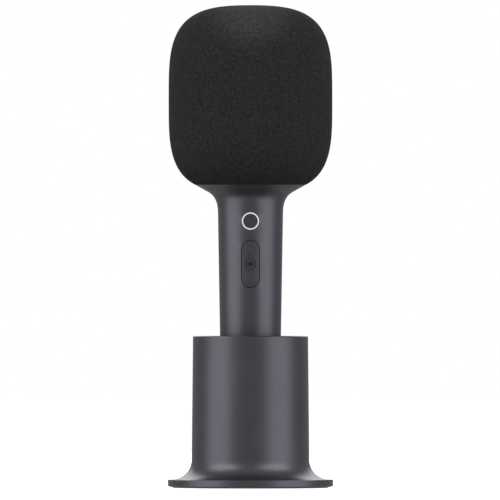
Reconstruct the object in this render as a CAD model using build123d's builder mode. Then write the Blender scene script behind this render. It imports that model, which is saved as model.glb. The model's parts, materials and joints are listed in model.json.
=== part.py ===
from build123d import *
from math import atan2, cos, pi, radians, sin, sqrt
import os

os.makedirs("parts", exist_ok=True)

# A karaoke microphone with a loudspeaker in its fabric-covered head, standing in a weighted holder.
# Millimetres, +Z up, front (the keys) towards -Y, origin on the surface under the holder's centre.

# ---------------------------------------------------------------- driving dimensions
# Clearances
slip_gap = 0.1          # between pieces of one assembly that slide together
well_gap = 0.35         # between the handle and the holder's well
thread_gap = 0.02       # between a screw's shank and its hole
head_gap = 0.15         # round a screw's head
lead_gap = 0.1          # round a lead where it passes through a hole

# Holder
pad_radius = 40.3
pad_thickness = 1.0
pad_proud = 0.35        # how far the rubber pad stands below the metal
disc_radius = 42.85
disc_bevel_width = 1.45
disc_bevel_height = 0.45
disc_top = 4.15
flare_radius = 10.5
sleeve_foot_radius = 30.5
sleeve_rim_radius = 29.85
sleeve_rim_z = 78.6
sleeve_wall = 2.2
plate_radius = 38.3
plate_thickness = 2.0
ballast_height = 12.0
ballast_bore_gap = 2.8
cup_wall = 1.6
cup_floor = 5.0
cup_flange = 1.8
cup_flange_sink = 0.4
cup_ledge = 0.6
seat_thickness = 1.9
seat_gap = 0.1

# Microphone handle
handle_length = 147.0
handle_foot_radius = 14.65
handle_neck_radius = 17.03
handle_wall = 1.8
flare_height = 6.5      # from the neck's corner up to the head joint
neck_blend_up = 5.5     # length of the neck's blend along the flare
neck_blend_down = 7.5   # and along the handle
ledge_below_joint = 8.0
ledge_thickness = 2.5
ledge_bore = 9.5

# Head outline: a superellipse of revolution, with a slightly domed crown
head_radius = 42.45
head_mid_rise = 42.9    # widest plane above the head joint
crown_height = 46.2
crown_power = 3.89
crown_dome = 4.1
belly_height = 46.7
belly_power = 3.48
joint_reveal = 0.1      # step from the fabric in to the handle's rim

# Head layers, as insets from the outline
fabric_thickness = 0.9
cage_wall = 1.6
foam_thickness = 5.5
bowl_wall = 2.0
layer_gap = 0.15
cage_columns = 20
cage_slot_width = 5.0

# Loudspeaker
speaker_plane = 39.0    # seat of the loudspeaker above the head joint
speaker_flange_radius = 27.0
speaker_flange = 1.2
gasket_thickness = 0.6
basket_hole_radius = 23.6
cone_radius = 19.0
cone_depth = 8.0
cone_paper = 0.5
cone_travel = 1.2
coil_wall = 0.4
coil_gap = 0.3
pole_radius = 9.25
yoke_wall = 2.2
yoke_depth = 10.0
spider_radius = 16.5

# Microphone capsule
capsule_radius = 8.0
capsule_height = 10.0
capsule_boot_wall = 2.2
capsule_rise = 26.0     # capsule's underside above the widest plane

# Keys
power_rise = 128.2      # power key above the handle's foot
rocker_rise = 106.0     # volume rocker above the handle's foot
ring_outer_radius = 4.45
ring_width = 0.65
ring_step = 0.3         # how far the ring's front lip reaches in over the power key's collar
collar_gap = 0.1
power_radius = 3.65
rocker_length = 24.35
rocker_width = 9.05
key_groove = 0.35
effect_radius = 2.6
effect_gap = 0.25
key_travel = 0.4
key_spare = 0.05        # gap left between a pressed key and its switch
switch_pitch = 8.0      # volume switches above and below the rocker's pivot
pivot_depth = 11.8      # rocker's pivot in front of the handle's axis
pivot_radius = 0.8
pivot_gap = 0.06

# Electronics in the handle
cell_radius = 9.25      # an 18650 cell
cell_length = 65.0
board_thickness = 1.2
usb_width = 8.94        # a USB-C receptacle's shell
usb_height = 3.26
usb_wall = 0.3
usb_tongue = 0.7
frame_wall = 1.5
frame_gap = 0.3
lead_radius = 0.6

# ---------------------------------------------------------------- derived heights and radii
plate_z = pad_thickness
deck_z = plate_z + plate_thickness
cup_floor_z = deck_z + cup_floor
seat_top_z = cup_floor_z + seat_thickness
foot_z = seat_top_z + seat_gap
joint_z = foot_z + handle_length
neck_z = joint_z - flare_height
mid_z = joint_z + head_mid_rise
power_z = foot_z + power_rise
rocker_z = foot_z + rocker_rise
speaker_z = joint_z + speaker_plane
ledge_z = joint_z - ledge_below_joint
sleeve_bore = sleeve_rim_radius - sleeve_wall

cage_inset = fabric_thickness + layer_gap
bowl_inset = cage_inset + cage_wall + layer_gap
foam_inset = bowl_inset


# ---------------------------------------------------------------- outlines
def handle_radius(z, inset=0.0):
    """Radius of the handle's straight taper at height z."""
    share = (z - foot_z) / (neck_z - foot_z)
    return handle_foot_radius + share * (handle_neck_radius - handle_foot_radius) - inset


def superellipse(angle, radius, height, power):
    """A point on a quarter of a superellipse, as (radius, rise), from the widest plane to the axis."""
    if angle > pi / 2 - 1e-9:
        return 0.0, height
    return radius * cos(angle) ** (2 / power), height * sin(angle) ** (2 / power)


def belly_angle(z, inset):
    """The angle at which the head's lower outline, inset, crosses height z."""
    rise = (mid_z - z) / (belly_height - inset)
    return atan2(rise ** (belly_power / 2), sqrt(1 - rise ** belly_power))


def crown_angle(z, inset):
    """The angle at which the head's upper outline, inset, crosses height z, by bisection."""
    low, high = 0.0, pi / 2
    for _ in range(40):
        middle = (low + high) / 2
        if crown_point(middle, inset)[1] < z:
            low = middle
        else:
            high = middle
    return low


def belly_point(angle, inset):
    radius, rise = superellipse(angle, head_radius - inset, belly_height - inset, belly_power)
    return radius, mid_z - rise


def crown_point(angle, inset):
    width = head_radius - inset
    radius, rise = superellipse(angle, width, crown_height - inset, crown_power)
    return radius, mid_z + rise + crown_dome * (1 - (radius / width) ** 2)


def crown_points(inset, start=0.0):
    """Points up the crown, from the start angle to the axis."""
    steps = 12
    return [crown_point(start + (pi / 2 - start) * i / steps, inset) for i in range(steps + 1)]


def belly_points(inset, end_z):
    """Points down the belly, from the widest plane to height end_z."""
    steps = 10
    end = belly_angle(end_z, inset)
    return [belly_point(end * i / steps, inset) for i in range(steps + 1)]


def crown_spline(inset, start=0.0):
    """The crown's outline, drawn from the start angle to the axis, level at the axis."""
    points = crown_points(inset, start)
    first = Vector(*points[0])
    if start == 0.0:
        return Spline(points, tangents=[(0, 1), (-1, 0)])
    aim = Vector(*crown_point(start + 0.001, inset)) - first
    return Spline(points, tangents=[(aim.X, aim.Y), (-1, 0)])


def belly_spline(inset, end_z):
    """The belly's outline, drawn down from the widest plane."""
    end = belly_angle(end_z, inset)
    last = Vector(*belly_point(end, inset))
    aim = last - Vector(*belly_point(end - 0.001, inset))
    return Spline(belly_points(inset, end_z), tangents=[(0, -1), (aim.X, aim.Y)])


joint_radius = belly_point(belly_angle(joint_z, 0.0), 0.0)[0] - joint_reveal
flare_slope = (joint_radius - handle_neck_radius) / flare_height
flare_side = sqrt(1 + flare_slope ** 2)
taper_slope = (handle_neck_radius - handle_foot_radius) / (neck_z - foot_z)


def neck_corner(inset):
    """Where the handle's taper and its flare, both inset, would meet."""
    drop = inset * (flare_side - sqrt(1 + taper_slope ** 2)) / (flare_slope - taper_slope)
    z = neck_z + drop
    return handle_radius(z, inset * sqrt(1 + taper_slope ** 2)), z


def handle_outline(inset, bottom_z):
    """The handle's side, inset: the taper, the blended neck and the flare up to the head joint."""
    corner_radius, corner_z = neck_corner(inset)
    low_z = corner_z - neck_blend_down
    high_z = corner_z + neck_blend_up / flare_side
    low = (handle_radius(low_z, inset * sqrt(1 + taper_slope ** 2)), low_z)
    high = (corner_radius + flare_slope * (high_z - corner_z), high_z)
    Line((handle_radius(bottom_z, inset), bottom_z), low)
    Bezier(low, (corner_radius, corner_z), high)
    rim = (corner_radius + flare_slope * (joint_z - corner_z), joint_z)
    Line(high, rim)
    return rim


def ring_of(inner, outer, low, high):
    """A plain ring section to be revolved about the axis, for use inside a BuildSketch."""
    with Locations(((inner + outer) / 2, (low + high) / 2)):
        Rectangle(outer - inner, high - low)


# ---------------------------------------------------------------- fasteners
class Screw:
    """A pan-head screw's sizes: shank radius, head radius and head height."""

    def __init__(self, shank, head, height):
        self.shank = shank
        self.head = head
        self.height = height


m3_screw = Screw(1.5, 2.7, 1.3)
m25_screw = Screw(1.25, 2.2, 1.5)
m2_screw = Screw(1.0, 1.75, 1.2)
m16_screw = Screw(0.8, 1.45, 1.0)
m3_length = 4.4
m25_length = 13.0
m2_length = 4.4
m16_length = 5.0


def drive_recess(screw):
    """The radius of the driver's recess in a screw's head: half the head's."""
    return screw.head / 2


# Solids that trim pieces to the handle's own taper
with BuildPart() as handle_core:
    with BuildSketch(Plane.XZ):
        with BuildLine():
            core_rim = handle_outline(0.0, foot_z)
            Polyline(core_rim, (0, joint_z), (0, foot_z), (handle_foot_radius, foot_z))
        make_face()
    revolve(axis=Axis.Z)

with BuildPart() as handle_hollow:
    with BuildSketch(Plane.XZ):
        with BuildLine():
            hollow_rim = handle_outline(handle_wall + frame_gap, foot_z)
            hollow_foot = handle_radius(foot_z, handle_wall + frame_gap)
            Polyline(hollow_rim, (0, joint_z), (0, foot_z), (hollow_foot, foot_z))
        make_face()
    revolve(axis=Axis.Z)

# ================================================================ holder
shell_under_z = pad_proud
bevel_inner = disc_radius - disc_bevel_width
flare_end = sleeve_foot_radius + flare_radius
step_z = sleeve_rim_z - cup_flange_sink - cup_flange
base_screw_circle = 34.2
cup_screw_circle = 9.0
rim_rounding = 0.6
disc_rounding = 0.25
pad_rounding = 0.3
mouth_chamfer = 0.8
ballast_chamfer = 0.6

# One spun and cast piece: foot disc, flare and sleeve
with BuildPart() as stand_shell:
    with BuildSketch(Plane.XZ):
        with BuildLine():
            Polyline(
                (pad_radius + slip_gap, shell_under_z),
                (bevel_inner, shell_under_z),
                (disc_radius, shell_under_z + disc_bevel_height),
                (disc_radius, disc_top),
                (flare_end, disc_top),
            )
            RadiusArc(
                (flare_end, disc_top),
                (sleeve_foot_radius, disc_top + flare_radius),
                flare_radius,
            )
            Polyline(
                (sleeve_foot_radius, disc_top + flare_radius),
                (sleeve_rim_radius, sleeve_rim_z),
                (sleeve_bore, sleeve_rim_z),
                (sleeve_bore, step_z),
                (sleeve_bore - cup_ledge, step_z),
                (sleeve_bore - cup_ledge, deck_z),
                (plate_radius + slip_gap, deck_z),
                (plate_radius + slip_gap, plate_z),
                (pad_radius + slip_gap, plate_z),
                (pad_radius + slip_gap, shell_under_z),
            )
        make_face()
    revolve(axis=Axis.Z)
    with BuildSketch(Plane.XY.offset(plate_z)):
        with PolarLocations(base_screw_circle, 4, start_angle=45):
            Circle(m3_screw.shank + thread_gap)
    extrude(amount=m3_length + slip_gap, mode=Mode.SUBTRACT)
    rim_edges = stand_shell.edges().filter_by(GeomType.CIRCLE).group_by(Axis.Z)[-1]
    fillet(rim_edges, radius=rim_rounding)
    disc_edges = (
        stand_shell.edges()
        .filter_by(GeomType.CIRCLE)
        .filter_by(lambda edge: abs(edge.radius - disc_radius) < 0.01)
    )
    fillet(disc_edges, radius=disc_rounding)
stand_shell.part.label = "stand_shell"
export_step(stand_shell.part, "parts/stand_shell.step")

# Liner that holds the handle upright, with the flange that closes the sleeve's mouth
well_foot = handle_radius(cup_floor_z) + well_gap
flange_z = step_z + cup_flange
with BuildPart() as stand_cup:
    with BuildSketch(Plane.XZ):
        with BuildLine():
            Polyline(
                (0, deck_z),
                (well_foot + cup_wall, deck_z),
                (handle_radius(step_z) + well_gap + cup_wall, step_z),
                (sleeve_bore - slip_gap, step_z),
                (sleeve_bore - slip_gap, flange_z),
                (handle_radius(flange_z) + well_gap, flange_z),
                (well_foot, cup_floor_z),
                (0, cup_floor_z),
                (0, deck_z),
            )
        make_face()
    revolve(axis=Axis.Z)
    with BuildSketch(Plane.XY.offset(deck_z)):
        with PolarLocations(cup_screw_circle, 3):
            Circle(m3_screw.shank + thread_gap)
    extrude(amount=m3_length - plate_thickness + slip_gap, mode=Mode.SUBTRACT)
    mouth_edges = (
        stand_cup.edges().filter_by(GeomType.CIRCLE).group_by(Axis.Z)[-1].sort_by(SortBy.RADIUS)
    )
    chamfer(mouth_edges[0], length=mouth_chamfer)
stand_cup.part.label = "stand_cup"
export_step(stand_cup.part, "parts/stand_cup.step")

# Felt pad that the handle's foot rests on
with BuildPart() as seat_pad:
    with BuildSketch(Plane.XY.offset(cup_floor_z)):
        Circle(well_foot - slip_gap)
    extrude(amount=seat_thickness)
seat_pad.part.label = "seat_pad"
export_step(seat_pad.part, "parts/seat_pad.step")

ballast_inner = well_foot + cup_wall + ballast_bore_gap
with BuildPart() as ballast_ring:
    with BuildSketch(Plane.XY.offset(deck_z)):
        Circle(sleeve_bore - cup_ledge - slip_gap)
        Circle(ballast_inner, mode=Mode.SUBTRACT)
    extrude(amount=ballast_height)
    chamfer(ballast_ring.edges().group_by(Axis.Z)[-1], length=ballast_chamfer)
ballast_ring.part.label = "ballast_ring"
export_step(ballast_ring.part, "parts/ballast_ring.step")


def base_screw_holes(radius):
    """The base plate's screw holes, for use inside a BuildSketch."""
    with PolarLocations(base_screw_circle, 4, start_angle=45):
        Circle(radius)
    with PolarLocations(cup_screw_circle, 3):
        Circle(radius)


# Steel plate that closes the holder and carries its screws, their heads sunk in it
with BuildPart() as base_plate:
    with BuildSketch(Plane.XY.offset(plate_z)):
        Circle(plate_radius)
    extrude(amount=plate_thickness)
    with BuildSketch(Plane.XY.offset(plate_z)):
        base_screw_holes(m3_screw.shank + head_gap)
    extrude(amount=plate_thickness, mode=Mode.SUBTRACT)
    with BuildSketch(Plane.XY.offset(plate_z)):
        base_screw_holes(m3_screw.head + head_gap)
    extrude(amount=m3_screw.height, mode=Mode.SUBTRACT)
base_plate.part.label = "base_plate"
export_step(base_plate.part, "parts/base_plate.step")

with BuildPart() as base_screws:
    with BuildSketch(Plane.XY.offset(plate_z + slip_gap)):
        base_screw_holes(m3_screw.head)
    extrude(amount=m3_screw.height - slip_gap)
    with BuildSketch(Plane.XY.offset(plate_z + slip_gap)):
        base_screw_holes(m3_screw.shank)
    extrude(amount=m3_length - slip_gap)
    with BuildSketch(Plane.XY.offset(plate_z + slip_gap)):
        base_screw_holes(drive_recess(m3_screw))
    extrude(amount=m3_screw.height / 2, mode=Mode.SUBTRACT)
base_screws.part.label = "base_screws"
export_step(base_screws.part, "parts/base_screws.step")

with BuildPart() as foot_pad:
    with BuildSketch(Plane.XY):
        Circle(pad_radius)
    extrude(amount=pad_thickness)
    fillet(foot_pad.edges().group_by(Axis.Z)[0], radius=pad_rounding)
foot_pad.part.label = "foot_pad"
export_step(foot_pad.part, "parts/foot_pad.step")

# ================================================================ handle
ring_hole = ring_outer_radius + slip_gap / 2
pill_hole_length = rocker_length + 2 * key_groove
pill_hole_width = rocker_width + 2 * key_groove
neck_screw_circle = 12.1
handle_foot_rounding = 0.6

with BuildPart() as handle_shell:
    with BuildSketch(Plane.XZ):
        with BuildLine():
            outer_rim = handle_outline(0.0, foot_z)
            inner_rim = handle_outline(handle_wall, foot_z)
            Line(outer_rim, inner_rim)
            Line((handle_foot_radius, foot_z), (handle_radius(foot_z, handle_wall), foot_z))
        make_face()
    revolve(axis=Axis.Z)
    # inner ledge that the head is screwed to
    with BuildSketch(Plane.XZ):
        ring_of(ledge_bore, handle_radius(ledge_z, handle_wall / 2), ledge_z - ledge_thickness, ledge_z)
    revolve(axis=Axis.Z)
    with BuildSketch(Plane.XY.offset(ledge_z)):
        with PolarLocations(neck_screw_circle, 4, start_angle=45):
            Circle(m25_screw.shank + thread_gap)
    extrude(amount=-ledge_thickness, mode=Mode.SUBTRACT)
    # openings for the power key's ring and the volume rocker
    with BuildSketch(Plane.XZ):
        with Locations((0, power_z)):
            Circle(ring_hole)
        with Locations((0, rocker_z)):
            SlotOverall(pill_hole_length, pill_hole_width, rotation=90)
    extrude(amount=2 * handle_neck_radius, mode=Mode.SUBTRACT)
    foot_edges = (
        handle_shell.edges().filter_by(GeomType.CIRCLE).group_by(Axis.Z)[0].sort_by(SortBy.RADIUS)
    )
    fillet(foot_edges[-1], radius=handle_foot_rounding)
handle_shell.part.label = "handle_shell"
export_step(handle_shell.part, "parts/handle_shell.step")

# ================================================================ head
# Knitted cover stretched over the cage
with BuildPart() as head_fabric:
    with BuildSketch(Plane.XZ):
        with BuildLine():
            crown_spline(0.0)
            crown_spline(fabric_thickness)
            belly_spline(0.0, joint_z)
            belly_spline(fabric_thickness, joint_z)
            Line(crown_point(pi / 2, 0.0), crown_point(pi / 2, fabric_thickness))
            outer_end = belly_point(belly_angle(joint_z, 0.0), 0.0)
            inner_end = belly_point(belly_angle(joint_z, fabric_thickness), fabric_thickness)
            Line(outer_end, inner_end)
        make_face()
    revolve(axis=Axis.Z)
head_fabric.part.label = "head_fabric"
export_step(head_fabric.part, "parts/head_fabric.step")


def cage_slots(heights, length):
    """Rows of upright slots round the cage, cut right through it."""
    for height in heights:
        with Locations(Plane.XY.offset(height)):
            with PolarLocations(head_radius, cage_columns):
                Box(head_radius, cage_slot_width, length, mode=Mode.SUBTRACT)


upper_slot_rises = [12.0, 25.0]     # slot middles above the widest plane
upper_slot_length = 11.0
lower_slot_drop = 24.0              # and below it
lower_slot_length = 10.0
crown_hole_radius = 2.6
crown_hole_rings = [(8.0, 6), (16.0, 12), (24.0, 18)]   # circle radius and number of holes

# Upper half of the moulded cage, slotted to let the voice in and the sound out
with BuildPart() as grille_upper:
    with BuildSketch(Plane.XZ):
        with BuildLine():
            crown_spline(cage_inset)
            crown_spline(cage_inset + cage_wall)
            crown_outer_top = crown_point(pi / 2, cage_inset)
            crown_inner_top = crown_point(pi / 2, cage_inset + cage_wall)
            Line(crown_outer_top, crown_inner_top)
            Line((head_radius - cage_inset, mid_z), (head_radius - cage_inset - cage_wall, mid_z))
        make_face()
    revolve(axis=Axis.Z)
    cage_slots([mid_z + rise for rise in upper_slot_rises], upper_slot_length)
    with BuildSketch(Plane.XY.offset(mid_z + crown_height / 2)):
        for circle, count in crown_hole_rings:
            with PolarLocations(circle, count):
                Circle(crown_hole_radius)
    extrude(amount=crown_height, mode=Mode.SUBTRACT)
grille_upper.part.label = "grille_upper"
export_step(grille_upper.part, "parts/grille_upper.step")

# Lower half, standing on the handle's rim
with BuildPart() as grille_lower:
    with BuildSketch(Plane.XZ):
        with BuildLine():
            belly_spline(cage_inset, joint_z)
            belly_spline(cage_inset + cage_wall, joint_z)
            outer_end = belly_point(belly_angle(joint_z, cage_inset), cage_inset)
            inner_inset = cage_inset + cage_wall
            inner_end = belly_point(belly_angle(joint_z, inner_inset), inner_inset)
            Line(outer_end, inner_end)
            Line((head_radius - cage_inset, mid_z), (head_radius - cage_inset - cage_wall, mid_z))
        make_face()
    revolve(axis=Axis.Z)
    cage_slots([mid_z - lower_slot_drop], lower_slot_length)
grille_lower.part.label = "grille_lower"
export_step(grille_lower.part, "parts/grille_lower.step")

# Foam that stops breath noise, lining the crown
foam_rise = 18.0                    # foam's lower edge above the widest plane
foam_low_z = mid_z + foam_rise
foam_inner = foam_inset + foam_thickness
with BuildPart() as foam_liner:
    with BuildSketch(Plane.XZ):
        with BuildLine():
            outer_start = crown_angle(foam_low_z, foam_inset)
            inner_start = crown_angle(foam_low_z, foam_inner)
            crown_spline(foam_inset, outer_start)
            crown_spline(foam_inner, inner_start)
            Line(crown_point(pi / 2, foam_inset), crown_point(pi / 2, foam_inner))
            Line(crown_point(outer_start, foam_inset), crown_point(inner_start, foam_inner))
        make_face()
    revolve(axis=Axis.Z)
foam_liner.part.label = "foam_liner"
export_step(foam_liner.part, "parts/foam_liner.step")

# Ring that joins the cage's halves and is screwed to the loudspeaker's bowl
ring_wall = 1.6
ring_height = 8.0
ring_tab_width = 8.0
ring_tab_corner = 1.5
tab_thickness = gasket_thickness + speaker_flange
bowl_radius = head_radius - bowl_inset - layer_gap
ring_tab_circle = bowl_radius - 5.3       # circle through the tabs' middles
with BuildPart() as mid_ring:
    with BuildSketch(Plane.XY.offset(speaker_z)):
        Circle(bowl_radius)
        Circle(bowl_radius - ring_wall, mode=Mode.SUBTRACT)
    extrude(amount=ring_height)
    with BuildSketch(Plane.XY.offset(speaker_z)):
        with PolarLocations(ring_tab_circle, 4, start_angle=45):
            RectangleRounded(ring_tab_width, ring_tab_width, ring_tab_corner)
        Circle(bowl_radius - ring_wall / 2, mode=Mode.INTERSECT)
    extrude(amount=tab_thickness)
    with BuildSketch(Plane.XY.offset(speaker_z)):
        with PolarLocations(ring_tab_circle, 4, start_angle=45):
            Circle(m2_screw.shank + head_gap)
    extrude(amount=tab_thickness, mode=Mode.SUBTRACT)
mid_ring.part.label = "mid_ring"
export_step(mid_ring.part, "parts/mid_ring.step")

# Sealed chamber behind the loudspeaker, with the spigot that enters the handle's neck
bowl_floor = 3.0
bowl_floor_z = joint_z + bowl_floor
bowl_flange = 3.0
bowl_inner = bowl_inset + bowl_wall
spigot_radius = handle_radius(ledge_z, handle_wall + frame_gap)
grommet_radius = 3.0
speaker_screw_circle = 25.3
capsule_lead_circle = 31.0
with BuildPart() as speaker_bowl:
    with BuildSketch(Plane.XZ):
        with BuildLine():
            belly_spline(bowl_inset + layer_gap, joint_z + slip_gap)
            bowl_end = belly_point(
                belly_angle(joint_z + slip_gap, bowl_inset + layer_gap), bowl_inset + layer_gap
            )
            Polyline(
                bowl_end,
                (spigot_radius, joint_z + slip_gap),
                (spigot_radius, ledge_z),
                (0, ledge_z),
                (0, mid_z),
                (head_radius - bowl_inset - layer_gap, mid_z),
            )
        make_face()
    revolve(axis=Axis.Z)
    with BuildSketch(Plane.XY.offset(speaker_z)):
        Circle(head_radius)
    extrude(amount=crown_height, mode=Mode.SUBTRACT)
    # chamber
    with BuildSketch(Plane.XZ):
        with BuildLine():
            chamber_top = speaker_z - bowl_flange
            belly_spline(bowl_inner, bowl_floor_z)
            floor_end = belly_point(belly_angle(bowl_floor_z, bowl_inner), bowl_inner)
            Polyline(
                floor_end,
                (0, bowl_floor_z),
                (0, mid_z),
                (head_radius - bowl_inner, mid_z),
            )
        make_face()
        with Locations((head_radius / 2, (chamber_top + mid_z) / 2)):
            Rectangle(2 * head_radius, mid_z - chamber_top, mode=Mode.SUBTRACT)
    revolve(axis=Axis.Z, mode=Mode.SUBTRACT)
    with BuildSketch(Plane.XY.offset(speaker_z)):
        Circle(basket_hole_radius)
        with PolarLocations(speaker_screw_circle, 4):
            Circle(m2_screw.shank + thread_gap)
        with PolarLocations(ring_tab_circle, 4, start_angle=45):
            Circle(m2_screw.shank + thread_gap)
        with Locations((0, -capsule_lead_circle)):
            Circle(lead_radius + lead_gap)
    extrude(amount=-bowl_flange, mode=Mode.SUBTRACT)
    with BuildSketch(Plane.XY.offset(ledge_z)):
        Circle(grommet_radius)
        with PolarLocations(neck_screw_circle, 4, start_angle=45):
            Circle(m25_screw.shank + head_gap)
    extrude(amount=bowl_floor_z - ledge_z, mode=Mode.SUBTRACT)
speaker_bowl.part.label = "speaker_bowl"
export_step(speaker_bowl.part, "parts/speaker_bowl.step")


def stacked_screw(screw, seat_z, length, points):
    """Pan-head screws pointing down from seat_z, at points in the plane, inside a BuildPart."""
    with BuildSketch(Plane.XY.offset(seat_z)) as heads:
        with Locations(points):
            Circle(screw.head)
    extrude(heads.sketch, amount=screw.height)
    with BuildSketch(Plane.XY.offset(seat_z)) as shanks:
        with Locations(points):
            Circle(screw.shank)
    extrude(shanks.sketch, amount=-length)
    with BuildSketch(Plane.XY.offset(seat_z + screw.height)) as recesses:
        with Locations(points):
            RegularPolygon(drive_recess(screw), 6)
    extrude(recesses.sketch, amount=-screw.height / 2, mode=Mode.SUBTRACT)


def polar_points(circle, count, start=0.0):
    """Points spaced evenly round a circle."""
    angles = [radians(start + 360 * i / count) for i in range(count)]
    return [(circle * cos(a), circle * sin(a)) for a in angles]


with BuildPart() as neck_screws:
    stacked_screw(m25_screw, bowl_floor_z, m25_length, polar_points(neck_screw_circle, 4, 45))
neck_screws.part.label = "neck_screws"
export_step(neck_screws.part, "parts/neck_screws.step")

tab_top_z = speaker_z + tab_thickness
with BuildPart() as head_screws:
    stacked_screw(m2_screw, tab_top_z, m2_length, polar_points(speaker_screw_circle, 4))
    stacked_screw(m2_screw, tab_top_z, m2_length, polar_points(ring_tab_circle, 4, 45))
head_screws.part.label = "head_screws"
export_step(head_screws.part, "parts/head_screws.step")

# ================================================================ loudspeaker
gasket_top = speaker_z + gasket_thickness
flange_top = gasket_top + speaker_flange
with BuildPart() as speaker_gasket:
    with BuildSketch(Plane.XY.offset(speaker_z)):
        Circle(speaker_flange_radius)
        Circle(basket_hole_radius, mode=Mode.SUBTRACT)
        with PolarLocations(speaker_screw_circle, 4):
            Circle(m2_screw.shank + head_gap, mode=Mode.SUBTRACT)
    extrude(amount=gasket_thickness)
speaker_gasket.part.label = "speaker_gasket"
export_step(speaker_gasket.part, "parts/speaker_gasket.step")

basket_clearance = 1.2              # between the basket and the bowl's hole
spider_drop = 10.0                  # spider and yoke seats below the flange
basket_drop = 13.0
flange_bore = basket_hole_radius - basket_clearance
spider_z = gasket_top - spider_drop
basket_seat_z = gasket_top - basket_drop
basket_wall = 1.0
spider_land = 1.0
window_circle = basket_hole_radius - 3.5
window_size = (12.0, 11.0, 6.0)
yoke_radius = pole_radius + coil_gap + coil_wall + coil_gap + yoke_wall
ledge_outer = spider_radius + basket_clearance
with BuildPart() as speaker_basket:
    with BuildSketch(Plane.XZ):
        with BuildLine():
            Polyline(
                (speaker_flange_radius, gasket_top),
                (speaker_flange_radius, flange_top),
                (flange_bore, flange_top),
                (flange_bore, gasket_top),
                (ledge_outer, spider_z),
                (spider_radius - spider_land, spider_z),
                (spider_radius - spider_land, basket_seat_z + basket_wall),
                (yoke_radius - yoke_wall, basket_seat_z + basket_wall),
                (yoke_radius - yoke_wall, basket_seat_z),
                (spider_radius, basket_seat_z),
                (spider_radius, spider_z - basket_wall),
                (ledge_outer + basket_wall, spider_z - basket_wall),
                (flange_bore + basket_wall, gasket_top - basket_wall),
                (flange_bore + basket_wall, gasket_top),
                (speaker_flange_radius, gasket_top),
            )
        make_face()
    revolve(axis=Axis.Z)
    # windows in the basket's cone
    with Locations(Plane.XY.offset((spider_z + gasket_top) / 2 - 0.5)):
        with PolarLocations(window_circle, 6, start_angle=30):
            Box(*window_size, mode=Mode.SUBTRACT)
    with BuildSketch(Plane.XY.offset(gasket_top)):
        with PolarLocations(speaker_screw_circle, 4):
            Circle(m2_screw.shank + head_gap)
    extrude(amount=speaker_flange, mode=Mode.SUBTRACT)
speaker_basket.part.label = "speaker_basket"
export_step(speaker_basket.part, "parts/speaker_basket.step")

yoke_floor_z = basket_seat_z - yoke_depth
magnet_height = 4.5
pole_thickness = 2.5
magnet_inset = 0.4                  # magnet's edge inside the pole plate's
yoke_chamfer = 0.6
pole_chamfer = 0.4
yoke_floor = yoke_depth - magnet_height - pole_thickness
with BuildPart() as speaker_yoke:
    with BuildSketch(Plane.XZ):
        ring_of(0, yoke_radius, yoke_floor_z, yoke_floor_z + yoke_floor)
        ring_of(yoke_radius - yoke_wall, yoke_radius, yoke_floor_z, basket_seat_z)
    revolve(axis=Axis.Z)
    chamfer(speaker_yoke.edges().group_by(Axis.Z)[0], length=yoke_chamfer)
speaker_yoke.part.label = "speaker_yoke"
export_step(speaker_yoke.part, "parts/speaker_yoke.step")

magnet_z = yoke_floor_z + yoke_floor
with BuildPart() as speaker_magnet:
    with BuildSketch(Plane.XY.offset(magnet_z)):
        Circle(pole_radius - magnet_inset)
    extrude(amount=magnet_height)
speaker_magnet.part.label = "speaker_magnet"
export_step(speaker_magnet.part, "parts/speaker_magnet.step")

with BuildPart() as pole_plate:
    with BuildSketch(Plane.XY.offset(magnet_z + magnet_height)):
        Circle(pole_radius)
    extrude(amount=pole_thickness)
    chamfer(pole_plate.edges().group_by(Axis.Z)[-1], length=pole_chamfer)
pole_plate.part.label = "pole_plate"
export_step(pole_plate.part, "parts/pole_plate.step")

# Moving assembly: coil, cone and dust cap
cone_top = flange_top
cone_low = cone_top - cone_depth
coil_inner = pole_radius + coil_gap
coil_outer = coil_inner + coil_wall
coil_spare = 0.5                    # under the coil at the end of its travel
coil_lap = 1.2                      # coil former past the cone's neck
coil_low = magnet_z + cone_travel + coil_spare
cone_rim = 1.5                      # flat rim that the surround is glued to
with BuildPart() as voice_coil:
    with BuildSketch(Plane.XZ):
        ring_of(coil_inner, coil_outer, coil_low, cone_low + coil_lap)
    revolve(axis=Axis.Z)
voice_coil.part.label = "voice_coil"
export_step(voice_coil.part, "parts/voice_coil.step")

with BuildPart() as speaker_cone:
    with BuildSketch(Plane.XZ):
        with BuildLine():
            Polyline(
                (coil_outer, cone_low),
                (coil_outer, cone_low + cone_paper),
                (cone_radius - cone_rim, cone_top),
                (cone_radius, cone_top),
                (cone_radius, cone_top - cone_paper),
                (cone_radius - cone_rim, cone_top - cone_paper),
                (coil_outer + cone_paper, cone_low),
                (coil_outer, cone_low),
            )
        make_face()
    revolve(axis=Axis.Z)
speaker_cone.part.label = "speaker_cone"
export_step(speaker_cone.part, "parts/speaker_cone.step")

cap_radius = 12.0
cap_rise = 3.2
cap_glue = 0.05                     # between the cap's edge and the cone
cap_share = (cap_radius - coil_outer) / (cone_radius - cone_rim - coil_outer)
cap_z = cone_low + cone_paper + cap_share * (cone_depth - cone_paper) + cap_glue
with BuildPart() as dust_cap:
    with BuildSketch(Plane.XZ):
        with BuildLine():
            dome_radius = (cap_radius ** 2 + cap_rise ** 2) / (2 * cap_rise)
            dome_centre = cap_z + cap_rise - dome_radius
            start_angle = 90 - 2 * atan2(cap_rise, cap_radius) * 180 / pi
            CenterArc((0, dome_centre), dome_radius, start_angle, 90 - start_angle)
            Line((0, cap_z + cap_rise), (0, cap_z + cap_rise + cone_paper))
            CenterArc((0, dome_centre + cone_paper), dome_radius, start_angle, 90 - start_angle)
            Line((cap_radius, cap_z + cone_paper), (cap_radius, cap_z))
        make_face()
    revolve(axis=Axis.Z)
dust_cap.part.label = "dust_cap"
export_step(dust_cap.part, "parts/dust_cap.step")

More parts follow.
